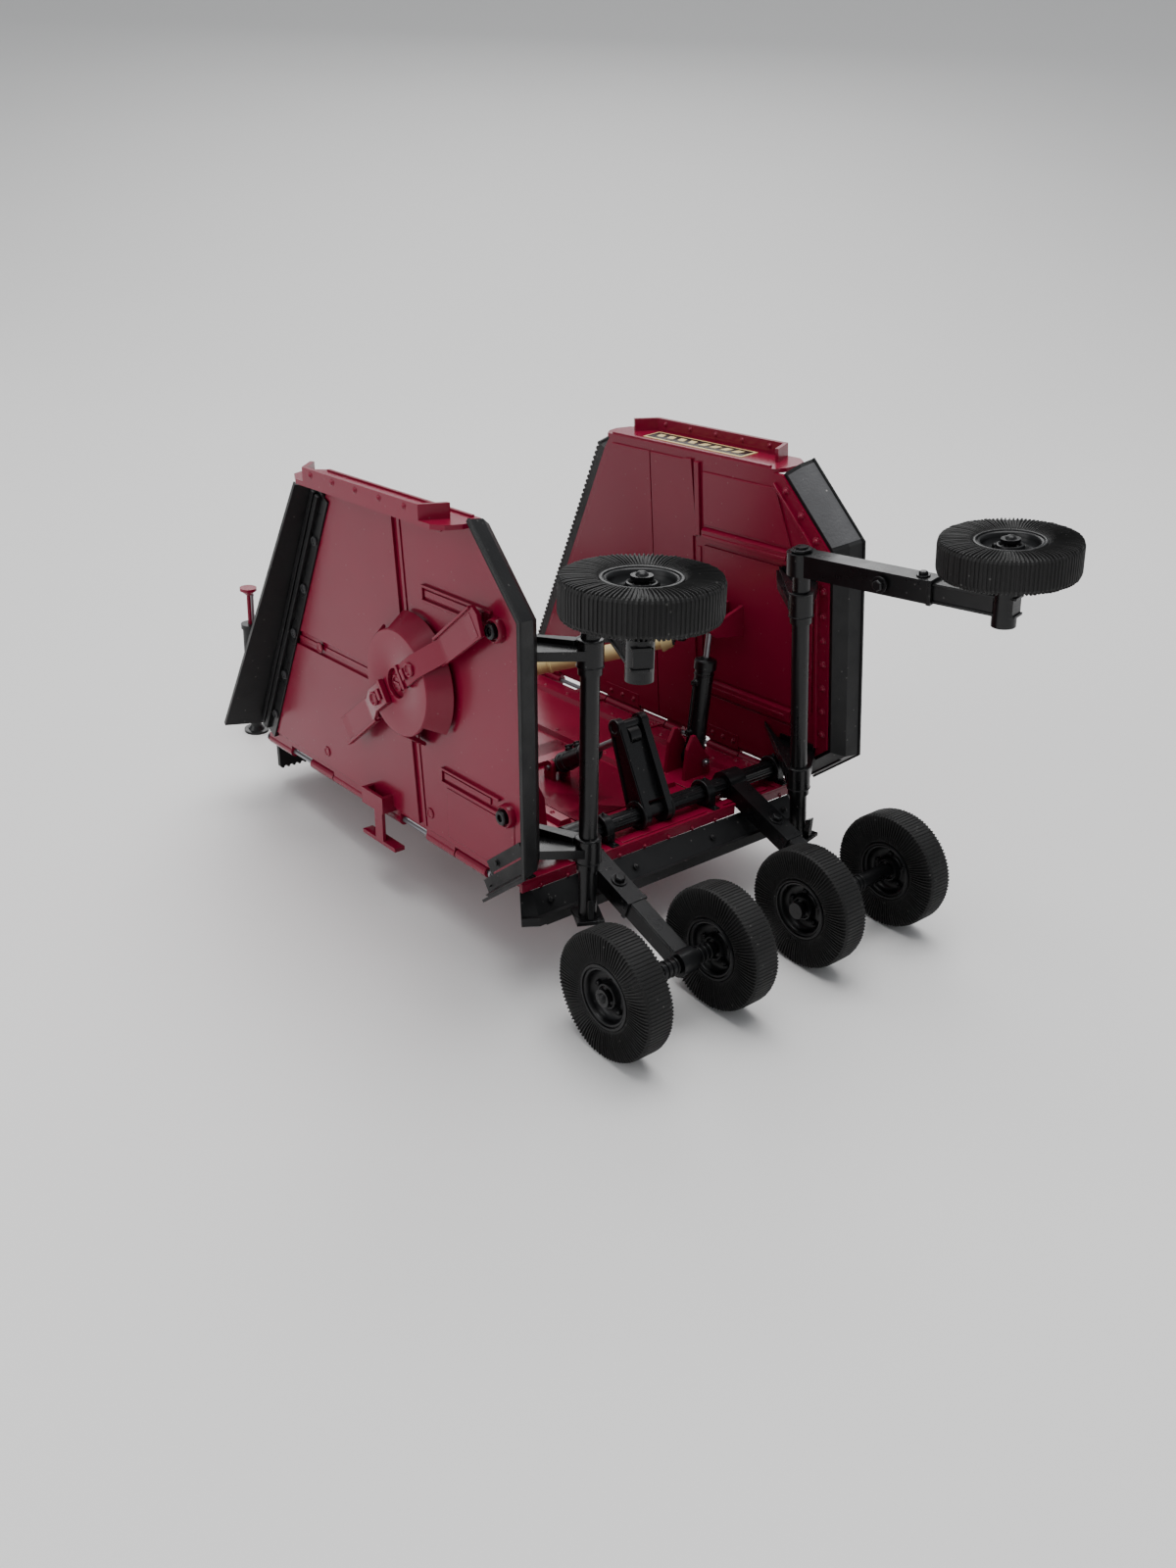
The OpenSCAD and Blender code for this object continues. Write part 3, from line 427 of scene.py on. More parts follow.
WING_REACH = 91.9
UNDER = -1.2
REAR_EDGE = [(91.9, -3.0), (73.5, -20.5), (14.0, -21.3), (2.2, -6.0)]
FRONT_EDGE = ((4.5, 117.5), (88.5, 72.5))
GUARD_Y = 1.8
GUARD_LEAN = 12
CHAIN_PITCH = 1.9
PAN_AT = (46.5, 27.0)
CENTRE_PAN_AT = (0, 72)
WING_BLADE_ANGLE = -54
CENTRE_BLADE_ANGLE = 35
PAN_R = 18.0
PAN_FLAT = 14.3
PAN_FOOT = -9.0


def front_u(v, inset=0.0):
    """Where the wing's front edge is, forward of the hinge, less an inset square to it."""
    (v0, u0), (v1, u1) = FRONT_EDGE
    slope = (u1 - u0) / (v1 - v0)
    return u0 + slope * (v - v0) - inset * math.hypot(1, slope)


def band_u(v):
    """Middle of the pressed channel that crosses the wing under its pan."""
    return 28 + 0.084 * (v - 7)


def inset_path(path, inset):
    """Moves a path sideways, to its right, keeping its corners."""
    moved = []
    for i, point in enumerate(path):
        before = (Vector(path[max(i, 1)]) - Vector(path[max(i, 1) - 1])).normalized()
        j = min(i, len(path) - 2)
        after = (Vector(path[j + 1]) - Vector(path[j])).normalized()
        mean = (before + after).normalized()
        side = Vector((mean.y, -mean.x))
        moved.append(tuple(Vector(point) + side * inset / max(side.dot(Vector((before.y, -before.x))), 0.3)))
    return moved


def rail(shape, path, width, low, high):
    """A low bar of constant width along a flat path."""
    outline = inset_path(path, -width / 2) + inset_path(path, width / 2)[::-1]
    shape.prism(outline, low, high)


def underside(side, placed):
    """Pressed panels with channels between them, cast rails, bosses and rivets."""
    shape = Shape()
    low, high = UNDER - 0.8, UNDER + 0.2
    half = 2.2
    inner, outer = 3.3, WING_REACH - 1.2
    rear = [(inner, -4.0), (inner, band_u(inner) - half), (outer, band_u(outer) - half), (outer, -2.6),
            (73.0, -18.6), (14.6, -19.8)]
    upper = [(43.2, band_u(43.2) + half), (outer, band_u(outer) + half), (outer, front_u(outer, 3.5)),
             (43.2, front_u(43.2, 1.6))]
    lower = [(inner, band_u(inner) + half), (38.8, band_u(38.8) + half), (38.8, front_u(38.8, 1.6)),
             (inner + 1.4, front_u(inner + 1.4, 1.6))]
    for outline in (rear, upper, lower):
        shape.prism(outline, low, high)
    rail(shape, [(inner, band_u(inner)), (outer, band_u(outer))], 1.3, UNDER - 0.35, high)
    rail(shape, [(41, band_u(41) + 4), (41, front_u(41, 2))], 1.2, UNDER - 0.35, high)
    for v, start, end in ((70.3, -6.5, 23), (22.5, -8.5, 17)):
        for edge in (-1.9, 1.9):
            rail(shape, [(v + edge, start), (v + edge, end)], 0.7, low - 0.9, low + 0.1)
        shape.box((v - 0.9, start + 4, low - 0.4), (v + 0.9, end - 1, low + 0.1))
        rail(shape, [(v - 2.1, end), (v + 2.1, end)], 0.6, low - 0.7, low + 0.1)
    shape.prism([(5, -3.5), (5, 15.5), (19.2, 15.5), (19.2, -14), (12, -14)], low - 0.2, low + 0.1)
    for v, u in ((68.4, -8.4), (21.2, -11.5)):
        shape.lathe([(3.3, 0), (3.0, 1.5), (2.5, 1.9), (2.5, 1.2), (0, 1.2)],
                    (v, u, low + 0.1), (0, 0, -1), 28)
    for v, u in ((88.8, 51), (88.8, 30), (88.8, 15), (41, 79), (8.6, 24), (8.6, 79)):
        shape.ring((v, u, low + 0.05), (0, 0, -1), 0.9, 1.6, 0.45, 24)
    shape.place(f"{side}_underside", f"{side}_wing", placed, "red_paint", bevel=0.12)
    bolts = Shape()
    for v, u in ((68.4, -8.4), (21.2, -11.5)):
        bolts.lathe([(2.0, 0), (2.0, 1.6), (1.7, 1.9), (1.0, 1.9), (0.9, 1.0), (0, 1.0)],
                    (v, u, low - 0.9), (0, 0, -1), 12)
    bolts.place(f"{side}_underside_bolts", f"{side}_wing", placed, "black_plastic", bevel=0.1)


def top_side(side, placed):
    """Pressed panels on the upper face, a weld line, and rivets along the folded rear edge."""
    shape = Shape()
    low, high = -0.2, 0.6
    half, middle = 2.3, 30.3
    inner, outer = 3.4, WING_REACH - 1.4
    shape.prism([(inner, middle + half), (outer, middle + half), (outer, 50.6), (inner, 50.6)], low, high)
    shape.prism([(inner, 50.95), (outer, 50.95), (outer, front_u(outer, 2.6)),
                 (inner + 2, front_u(inner + 2, 0.9)), (inner, 112)], low, high)
    for first, last, rear in ((inner, 17.6, -8.0), (24.0, 65.8, -15.5), (72.2, 88, -7.0)):
        shape.prism([(first, rear + (2 if first < 10 else 0)), (first, middle - half), (last, middle - half),
                     (last, rear + (6 if last > 80 else 0))], low, high)
    rail(shape, [(68.5, middle), (outer, middle)], 1.9, low, 0.95)
    rail(shape, [(inner, middle), (65, middle)], 1.4, low, 0.4)
    rail(shape, inset_path(REAR_EDGE[:3], 3.8), 0.8, low, 1.0)
    for v in (69, 20.8):
        rail(shape, [(v, -6), (v, 27.5)], 1.0, 1.3, 1.9)
    row = inset_path(REAR_EDGE, 1.9)
    for (a, b), count in zip(zip(row, row[1:]), (3, 8, 2)):
        for i in range(count):
            t = (i + 0.5) / count
            spot = (a[0] + (b[0] - a[0]) * t, a[1] + (b[1] - a[1]) * t, -0.05)
            shape.dome_bolt(spot, (0, 0, 1), 0.8)
    shape.place(f"{side}_top_side", f"{side}_wing", placed, "red_paint", bevel=0.12)


def hinge_leaves(side, placed):
    """Leaf plates with rivets beside the wing's hinge knuckles."""
    shape = Shape()
    for start, end in ((14, 27.5), (60.5, 77.5), (103.5, 116)):
        shape.box((2.4, start + 0.3, -0.2), (7.4, end - 0.3, 0.75))
        for i in range(3):
            u = start + (end - start) * (i + 0.5) / 3
            shape.dome_bolt((5.0, u, 0.7), (0, 0, 1), 0.62)
            shape.dome_bolt((4.6, u, UNDER - 0.1), (0, 0, -1), 0.6)
    shape.place(f"{side}_hinge_leaves", f"{side}_wing", placed, "red_paint")


def skirt_details(side, placed):
    """Rivets and a bead on the skirt, and its bordered plate with a plain striped field."""
    shape = Shape()
    face = WING_REACH + 1.2
    for u in (13, 24, 35, 46, 57):
        shape.dome_bolt((face + 2.2, u, -11.95), (0, 0, 1), 0.6)
        shape.dome_bolt((face + 2.2, u, -13.05), (0, 0, -1), 0.6)
    shape.box((face - 0.1, 2.2, -1.5), (face + 0.5, 69, -0.5))
    shape.box((face - 1.5, 3.0, -2.2), (face - 0.3, 5.0, -0.4))
    shape.place(f"{side}_skirt_beads", f"{side}_wing", placed, "red_paint", bevel=0.14)
    low, high = (16, -10.2), (58, -3.4)
    border = Shape()
    border.box((face - 0.1, low[0], low[1]), (face + 0.2, high[0], high[1]))
    border.place(f"{side}_plate_border", f"{side}_wing", placed, "cream_plastic", bevel=0.05)
    field = Shape()
    field.box((face, low[0] + 0.9, low[1] + 0.8), (face + 0.28, high[0] - 0.9, high[1] - 0.8))
    field.place(f"{side}_plate_field", f"{side}_wing", placed, "black_plastic", bevel=0.04)
    stripes = Shape()
    for i in range(8):
        u = low[0] + 3 + 4.6 * i + (1.2 if i > 3 else 0)
        lean = 0.7 if i < 4 else -0.7
        stripes.prism([(u, -8.0), (u + 2.6, -8.0), (u + 2.6 + lean, -5.6), (u + lean, -5.6)],
                      face + 0.1, face + 0.36, "x")
    stripes.place(f"{side}_plate_stripes", f"{side}_wing", placed, "cream_plastic", bevel=0.03)


def front_guard_details(side, placed):
    """The rubber strap under the front edge with its ring rivets, two raised strips, and the
    row of hanging chains along the guard's outer face."""
    (v0, u0), (v1, u1) = FRONT_EDGE
    along = Vector((v1 - v0, u1 - u0)).normalized()
    out = Vector((-along.y, along.x))
    length = math.hypot(v1 - v0, u1 - u0) - 1

    def spot(x, y):
        return (v0 + along.x * x + out.x * y, u0 + along.y * x + out.y * y)

    strap = Shape()
    strap.prism([spot(1, -5.6), spot(length, -5.6), spot(length, -0.2), spot(1, -0.2)], -2.6, -1.3)
    strap.place(f"{side}_front_strap", f"{side}_wing", placed, "black_plastic")
    strips = Shape()
    for y in (-2.2, 0.2):
        strips.prism([spot(2, y), spot(length - 1, y), spot(length - 1, y + 1.6), spot(2, y + 1.6)],
                     -3.7, -2.4)
    strips.place(f"{side}_front_strips", f"{side}_wing", placed, "black_rubber")
    rings = Shape()
    for i in range(5):
        rings.ring((*spot(10 + 17.4 * i, -4.0), -2.6), (0, 0, -1), 0.8, 1.4, 0.6, 24)
    rings.place(f"{side}_strap_rings", f"{side}_wing", placed, "grey_plastic", bevel=0)
    chains = Shape()
    lean = math.tan(math.radians(GUARD_LEAN))
    for i in range(int((length - 1) / CHAIN_PITCH) + 1):
        x = 0.9 + CHAIN_PITCH * i
        foot = 13.1 - (13.1 - 6.4) * x / length - 0.5
        top, low = spot(x, GUARD_Y + 1.5), spot(x, GUARD_Y + 1.5 + foot * lean)
        chains.rod((*top, -0.7), (*low, -foot), 0.78, 10)
    chains.place(f"{side}_chain_row", f"{side}_wing", placed, "black_plastic", bevel=0, smooth=60)


def rear_deflector_details(side, placed):
    """A flat face strip with a rolled lip along the rubber deflector, and bolts at its corners."""
    shape = Shape()
    for offsets, low, high in (((1.2, 2.2), -2.9, -1.9), ((4.6, 5.4), -8.75, -8.1)):
        near = inset_path(REAR_EDGE[:4], -offsets[0])
        far = inset_path(REAR_EDGE[:4], -offsets[1])
        for i in range(3):
            shape.prism([near[i], near[i + 1], far[i + 1], far[i]], low, high)
    for v, u in ((75.5, -21.2), (71.5, -22.6), (17.0, -23.4), (12.4, -21.2)):
        shape.dome_bolt((v, u, -3.0), (0, -0.6, 0.8), 0.6)
    corner, end = (Vector(point) for point in REAR_EDGE[2:4])
    along = (end - corner).normalized()
    inward = Vector((along.y, -along.x))

    def layer(start, stop, out, reach, low, high):
        """A flat layer beside the edge's last leg, measured along it and inward from it."""
        shape.prism([tuple(p + along * a + inward * b) for p, a, b in (
            (corner, start, out), (end, stop, out), (end, stop, reach), (corner, start, reach))], low, high)

    layer(3.0, 1.2, 0.0, 4.4, -2.5, -1.3)
    layer(1.0, 2.6, -4.4, 0.2, -4.6, -3.6)
    bolt = end - along * 3.4 + inward * 2.6
    shape.hex_bolt((bolt.x, bolt.y, -2.45), (0, 0, -1), 0.7)
    shape.place(f"{side}_deflector_lip", f"{side}_wing", placed, "black_rubber", bevel=0.1)


def painted_highlight_strip(placed):
    """A lighter grey face on the right deflector beside the wing's chamfered corner: painted highlight on the
    sloping face where the light falls.
    """
    section = [(1.15, -0.62), (4.06, -3.72), (4.95, -8.0), (4.8, -8.05), (3.9, -3.8), (1.05, -0.8)]
    shape = Shape()
    rings = []
    for share in (0.04, 0.96):
        edges = [inset_path(REAR_EDGE[:3], -out)[:2] for out, _ in section]
        rings.append([(*Vector(a).lerp(Vector(b), share), height)
                      for (a, b), (_, height) in zip(edges, section)])
    shape.loft(rings)
    # the lighter grey of this strip is painted highlight on the lit face
    strip = shape.place("right_painted_highlight_strip", "right_wing", placed, "painted_highlight_rubber", bevel=0)


def pan_and_blades(prefix, body, placed, lead):
    """The dished pan with two openings in its wall, its hub bolt, and the two stepped blades."""
    dish = Shape()
    dish.lathe([(4.0, PAN_FOOT + 1.4), (4.0, PAN_FOOT + 0.1), (4.2, PAN_FOOT), (PAN_FLAT - 0.3, PAN_FOOT),
                (PAN_FLAT, PAN_FOOT + 0.3), (PAN_FLAT, PAN_FOOT + 1.2), (5.2, PAN_FOOT + 1.2),
                (5.0, PAN_FOOT + 2.6), (3, PAN_FOOT + 2.6), (3, -1.6), (0, -1.6)], sides=72)
    for centre in (122, 302):
        steps = 44
        first, last = centre - 71, centre + 71
        rings = []
        for i in range(steps + 1):
            a = math.radians(first + (last - first) * i / steps)
            section = [(PAN_FLAT - 0.05, PAN_FOOT + 0.15), (PAN_R, -3.4), (PAN_R - 0.3, -3.0),
                       (PAN_R - 1.0, -3.1), (PAN_FLAT - 1.1, PAN_FOOT + 1.0)]
            rings.append([(r * math.cos(a), r * math.sin(a), z) for r, z in section])
        dish.loft(rings)
    ring_z = PAN_FOOT + 1.35
    dish.lathe([(3.9, 0), (3.9, 0.1), (2.4, 0.3), (2.2, 1.1), (1.7, 1.35), (1.6, 0.9), (0, 0.9)],
               (0, 0, ring_z), (0, 0, -1), 32)
    dish.box((-0.3, -1.3, ring_z - 1.25), (0.3, 1.3, ring_z - 0.7))
    piece = dish.place(f"{prefix}_pan_dish", body, placed, "red_paint", bevel=0.1, smooth=30)
    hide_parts(f"{prefix}_blade_pan")
    blades = Shape()
    top = PAN_FOOT - 0.1
    for half_turn in (0, 180):
        blade = Shape()
        profile = [(5.2, top), (13.4, top), (21.6, top + 3.6), (24, top + 3.8), (35, top + 3.8),
                   (39.5, top + 3.4), (39.5, top + 2.5), (35, top + 2.7), (24, top + 2.7),
                   (21.9, top + 2.5), (13.0, top - 1.1), (5.2, top - 1.1)]
        blade.prism(profile, -3.1, 3.1, "y")
        blade.prism([(19.5, -3.4), (40.5, -3.6), (42, 1.6), (41, 4.2), (19.5, 3.6)], top + 2.65, top + 3.85)
        blade.prism([(21, 3.2), (40.6, 3.8), (40.8, 4.4), (21, 4.0)], top + 2.0, top + 3.8)
        blade.prism([(7.0, -1.5), (8.4, -1.5), (8.4, 1.5), (7.0, 1.5)], top - 1.9, top - 0.6)
        blade.ring((11.0, 0, top - 1.05), (0, 0, -1), 1.2, 1.9, 0.8, 28)
        blade.prism([(5.0, -3.3), (6.0, -3.3), (6.0, 3.3), (5.0, 3.3)], top - 1.7, top - 0.2)
        bmesh.ops.rotate(blade.mesh, verts=blade.mesh.verts[:], cent=(0, 0, 0),
                         matrix=Matrix.Rotation(math.radians(lead + half_turn), 3, "Z"))
        solid = bpy.data.meshes.new("blade")
        blade.mesh.to_mesh(solid)
        blades.mesh.from_mesh(solid)
        bpy.data.meshes.remove(solid)
        blade.mesh.free()
    piece = blades.place(f"{prefix}_stepped_blades", body, placed, "red_paint", bevel=0.12)
    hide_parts(f"{prefix}_blades")


ARM_V = {"left": 79, "right": 75}
ARM_LENGTH = {"left": 48, "right": 58}


def shaft_details(side, placed, arm):
    """Gussets under the wing's wheel shaft, and the arm's lever, bolts and channel plates."""
    shaft_u, shaft_w = -23.3, 14.0
    shape = Shape()
    for v, toe_v, toe_u in ((11.5, 15.5, 3.5), (63.5, 65.4, -2.0)):
        toe = [(toe_v - 0.6, toe_u, 0.0), (toe_v + 0.6, toe_u, 0.0), (toe_v + 0.6, toe_u - 1.4, 1.4),
               (toe_v - 0.6, toe_u - 1.4, 1.4)]
        far_u = shaft_u + 3.1
        end = [(v - 2.6, far_u, shaft_w - 2.4), (v + 2.6, far_u, shaft_w - 2.4),
               (v + 2.6, far_u, shaft_w + 1.6), (v - 2.6, far_u, shaft_w + 1.6)]
        shape.loft([toe, end])
        for edge in (-3.6, 2.9):
            shape.lathe([(3.0, 0), (3.45, 0.2), (3.45, 0.5), (3.0, 0.7)],
                        (v + edge, shaft_u, shaft_w), (1, 0, 0), 32)
    shape.place(f"{side}_shaft_gussets", f"{side}_wing", placed, "black_plastic")
    length, at = ARM_LENGTH[side], ARM_V[side]
    sleeve = length - 19
    lever = Shape()
    lever.box((-8.0, -4.6, -3.6), (-6.9, 4.0, 3.6))
    lever.prism([(-6.9, -2.2), (-1.6, -3.1), (-0.6, -4.9), (-6.9, -4.2)], -0.8, 0.8)
    lever.hex_bolt((at, -0.45 * length, 4.0), (0, 0, 1), 1.5)
    lever.hex_bolt((at + 3.0, -0.62 * length, 0), (1, 0, 0), 1.2)
    for x in (at - 2.4, at + 2.1):
        lever.prism([(-sleeve - 0.5, -2.5), (-length - 3.4, -2.5), (-length - 3.4, 1.4), (-length - 1, 2.5),
                     (-sleeve - 0.5, 2.5)], x - 0.35, x + 0.35, "x")
    lever.box((at - 3.25, -sleeve - 0.9, -3.25), (at + 3.25, -sleeve + 0.3, 3.25))
    lever.lathe([(2.6, 0), (3.0, 0.2), (2.9, 0.8), (0, 0.9)], (at + 3.1, 0, 0), (1, 0, 0), 8)
    lever.place(f"{side}_shaft_lever", f"{side}_wheel_carrier", arm, "black_plastic", bevel=0.1)


def gearbox_details(side, placed):
    """Bolts, cooling ribs and cap of a wing's gearbox."""
    shape = Shape()
    v, u = PAN_AT
    for i in range(6):
        angle = math.tau * i / 6
        shape.hex_bolt((v + 5.0 * math.cos(angle), u + 5.0 * math.sin(angle), 1.35), (0, 0, 1), 0.5)
        shape.hex_bolt((v + 3.5 * math.cos(angle), u + 3.5 * math.sin(angle), 11.15), (0, 0, 1), 0.35)
    for height in (5.6, 6.9, 8.2, 9.5):
        shape.lathe([(4.3, 0), (4.75, 0.15), (4.75, 0.55), (4.3, 0.7)], (v, u, height), (0, 0, 1), 40)
    shape.place(f"{side}_gearbox_ribs", f"{side}_wing", placed, "grey_plastic", bevel=0.05)


# ---------- fold cylinders and drivelines ----------

def cylinder_details(name, body, placed, radius, length, rod_radius, face=LEFT):
    """Gland, base ring, weld beads and, on one face, the hose ports of a hydraulic cylinder."""
    shape = Shape()
    bands = ((3.2, 1.0, 0.25), (6.2, 0.8, 0.22), (length - 3.2, 3.0, 0.5), (length - 5.0, 0.8, 0.2))
    for at, height, extra in bands:
        shape.lathe([(radius - 0.1, 0), (radius + extra, 0.2), (radius + extra, height - 0.2),
                     (radius - 0.1, height)], (0, 0, at), (0, 0, 1), 40)
    for at in (8.5, length - 7.0):
        shape.lathe([(1.25, 0), (1.25, 0.9), (0.95, 1.1), (0.95, 1.8), (0.5, 1.9), (0, 1.5)],
                    (face * (radius - 0.35), 0, at), (face, 0, 0), 6)
    pipe = face * (radius + 0.9)
    shape.rod((pipe, 0, 9.4), (pipe, 0, length - 7.9), 0.4, 12)
    shape.lathe([(radius + 0.36, 0), (radius + 0.2, 0.35), (rod_radius + 0.9, 0.5), (rod_radius + 0.35, 0.9),
                 (rod_radius + 0.12, 0.9), (rod_radius + 0.12, -0.2)], (0, 0, length - 0.35), (0, 0, 1), 40)
    shape.place(f"{name}_fittings", body, placed, "black_plastic", bevel=0.06)


def make_cylinders():
    for side in SIDES:
        placed = slide_frame(f"{side}_fold_barrel_pivot", f"{side}_fold_rod_slide", DECK_U)
        cylinder_details(f"{side}_fold_cylinder", f"{side}_fold_barrel", placed, 2.9, 31, 0.9, -SIDES[side])
    placed = slide_frame("lift_barrel_pivot", "lift_rod_slide", X_AXIS)
    cylinder_details("lift_cylinder", "lift_barrel", placed, 2.9, 20, 1.1)
    mast_eye = math.dist((37, 4), (4.5, 24))
    cover = Shape()
    cover.lathe([(2.0, -1.95), (2.95, -1.85), (2.95, 1.85), (2.0, 1.95)], (0, 0, mast_eye), (0, 1, 0), 36)
    cover.place("lift_rod_eye_band", "lift_rod", placed, "black_plastic", bevel=0.08)


def make_drivelines():
    """Shield bells and bearing rings, and the ears of the outer universal joints."""
    for side in SIDES:
        z = joint_axis(f"{side}_driveline_slide")
        x = DECK_W.cross(z).normalized()
        placed = local_frame(joint_at(f"{side}_driveline_swing"), x, z.cross(x), z)
        bell = Shape()
        bell.lathe([(3.25, 5.6), (3.5, 6.2), (3.3, 7.4), (2.7, 9.4), (2.7, 11)], sides=36)
        for at in (13, 38.2):
            bell.lathe([(2.55, 0), (2.9, 0.2), (2.9, 1.0), (2.55, 1.2)], (0, 0, at), (0, 0, 1), 36)
        bell.place(f"{side}_shield_bell", f"{side}_drive_tube", placed, "cream_plastic", bevel=0.05)
        tip = tip_length(side)
        ears = Shape()
        for edge in (-1.45, 1.45):
            ears.box((edge - 0.35, -1.0, tip - 1.4), (edge + 0.35, 1.0, tip + 0.7))
        ears.rod((-1.9, 0, tip + 0.2), (1.9, 0, tip + 0.2), 0.45, 14)
        ears.place(f"{side}_outer_yoke", f"{side}_drive_shaft", placed, "grey_plastic", bevel=0.08)


def tip_length(side):
    """How far the driveline's outer end is from its inner joint, in millimetres."""
    start = joint_at(f"{side}_driveline_swing")
    axis = joint_axis(f"{side}_driveline_slide")
    verts = frame["nodes"][f"{side}_driveline_shaft"].data.vertices
    return max((vert.co - start).dot(axis) for vert in verts) / MM


# ---------- centre deck ----------

def deck_top():
    """Raised panels, feet, ledges and rivets on the centre deck's upper face."""
    shape = Shape()
    low, high = -0.2, 0.35
    for start, end in ((8, 45.2), (50.8, 60), (84, 95.2), (100.8, 114)):
        shape.box((-16.6, start, low), (16.6, end, high))
    shape.box((23.2, -2.6 + 8, low), (40.4, 112, high))
    shape.box((46.6, 2, low), (49.8, 112, high))
    shape.mirrored_x()
    for x in (24.5, 36):
        shape.box((x - 5, -9.6, low), (x + 5, -7.2, 0.9))
    shape.box((-16, -9.8, low), (16, -7.0, 0.85))
    shape.box((-50.2, -10.9, low), (50.2, -9.9, 0.6))
    for x in (19, 47.5):
        for at in (x, -x):
            shape.box((at - 3.4, -11 + 0.2, low), (at + 3.4, 2.6, 0.7))
    for x in (-43.5, -20, 20, 43.5):
        for u in range(16, 112, 12):
            shape.dome_bolt((x, u, 1.45), (0, 0, 1), 0.55)
    for s in (LEFT, RIGHT):
        for start, end in ((0, 13.5), (48, 60), (78, 91.5)):
            shape.box((min(s * 46.2, s * 51.3), start + 0.3, low), (max(s * 46.2, s * 51.3), end - 0.3, 0.8))
            for i in range(3):
                shape.dome_bolt((s * 48.9, start + (end - start) * (i + 0.5) / 3, 0.75), (0, 0, 1), 0.6)
    shape.place("deck_panels", "deck", DECK, "red_paint", bevel=0.14)


def deck_underside():
    """Ribs, bosses and the pressed frame under the centre deck."""
    shape = Shape()
    low = UNDER - 0.9
    for x in (-43.5, -30, 30, 43.5):
        shape.box((x - 0.7, 2, low), (x + 0.7, 116, UNDER + 0.2))
    for u in (12, 44, 100, 116):
        shape.box((-48, u - 0.7, low), (48, u + 0.7, UNDER + 0.2))
    for x in (-36.7, 36.7):
        for u in (6, 28, 58, 86, 108):
            shape.lathe([(2.4, 0), (2.1, 1.2), (1.4, 1.3), (1.3, 0.6), (0, 0.6)],
                        (x, u, UNDER + 0.05), (0, 0, -1), 24)
    shape.place("deck_ribs", "deck", DECK, "red_paint", bevel=0.14)


def bearing_bolts():
    """Hexagon bolts that hold the lift shaft's bearings and their grease nipples."""
    shape = Shape()
    for x in (-47.5, -19, 19, 47.5):
        for u in (-9.9, -0.1):
            shape.hex_bolt((x, u, 0.95), (0, 0, 1), 0.62)
        shape.lathe([(3.72, 0), (3.95, 0.2), (3.95, 0.7), (3.72, 0.9), (2.7, 0.9), (2.7, 0)],
                    (x - 1.7, -5, 4.4), (1, 0, 0), 36)
        shape.rod((x, -5, 8.0), (x, -5, 8.9), 0.45, 10, 0.3)
    shape.place("bearing_fittings", "deck", DECK, "black_plastic", bevel=0.06)


def rear_deflector_rivets():
    shape = Shape()
    for x in (-45, -36, -18, -9, 0, 9, 18, 36, 45):
        shape.dome_bolt((x, -11.05, -1.9), (0, -1, 0), 0.5)
    shape.place("rear_edge_rivets", "deck", DECK, "red_paint", bevel=0)
    bars = Shape()
    bars.box((-47.5, -16.9, -10.4), (47.5, -15.8, -9.9))
    for x in (-44, -14.5, 14.5, 44):
        bars.dome_bolt((x, -14.2, -5.2), (0, -0.7, 0.7), 0.6)
    bars.place("deflector_lip", "deck", DECK, "black_rubber", bevel=0.1)


def divider_gearbox():
    """Cover bolts, side flanges and ribs of the divider gearbox, and its input shaft."""
    shape = Shape()
    u, top = CENTRE_PAN_AT[1], 26
    for x in (-3.8, 3.8):
        for y in (-4.3, 4.8):
            shape.hex_bolt((x, u + y, top), (0, 0, 1), 0.55)
    for side in (LEFT, RIGHT):
        shape.lathe([(3.4, 0), (3.4, 0.25), (3.1, 0.45), (2.3, 0.45), (2.3, 0)],
                    (side * 4.7, u, 22), (side, 0, 0), 32)
    for x in (-6.4, 6.4):
        for y in (-7.2, 7.2):
            shape.hex_bolt((x, u + y, 1.45), (0, 0, 1), 0.7)
    for i in range(8):
        angle = math.tau * i / 8
        a = Vector((math.cos(angle), math.sin(angle)))
        shape.rod((a.x * 7.3, u + a.y * 7.3, 2.0), (a.x * 5.0, u + a.y * 5.0, 12.0), 0.4, 8)
    shape.lathe([(3.0, 0), (3.0, 0.6), (2.5, 0.9), (2.5, 1.6), (1.4, 1.8), (1.4, 5.2), (0, 5.2)],
                (0, u + 6, 22), (0, 1, 0), 28)
    shape.place("divider_fittings", "deck", DECK, "grey_plastic", bevel=0.06)


def deck_silver():
    """Rounded heads on the pins that show at the cylinders' feet."""
    shape = Shape()
    for s in (LEFT, RIGHT):
        for end, out in ((15 - 5.3, -1), (15 + 5.3, 1)):
            shape.dome_bolt((s * 34, end, 4.5), (0, out, 0), 0.95)
    shape.place("pin_heads", "deck", DECK, "bright_steel", bevel=0)


# ---------- centre axle ----------

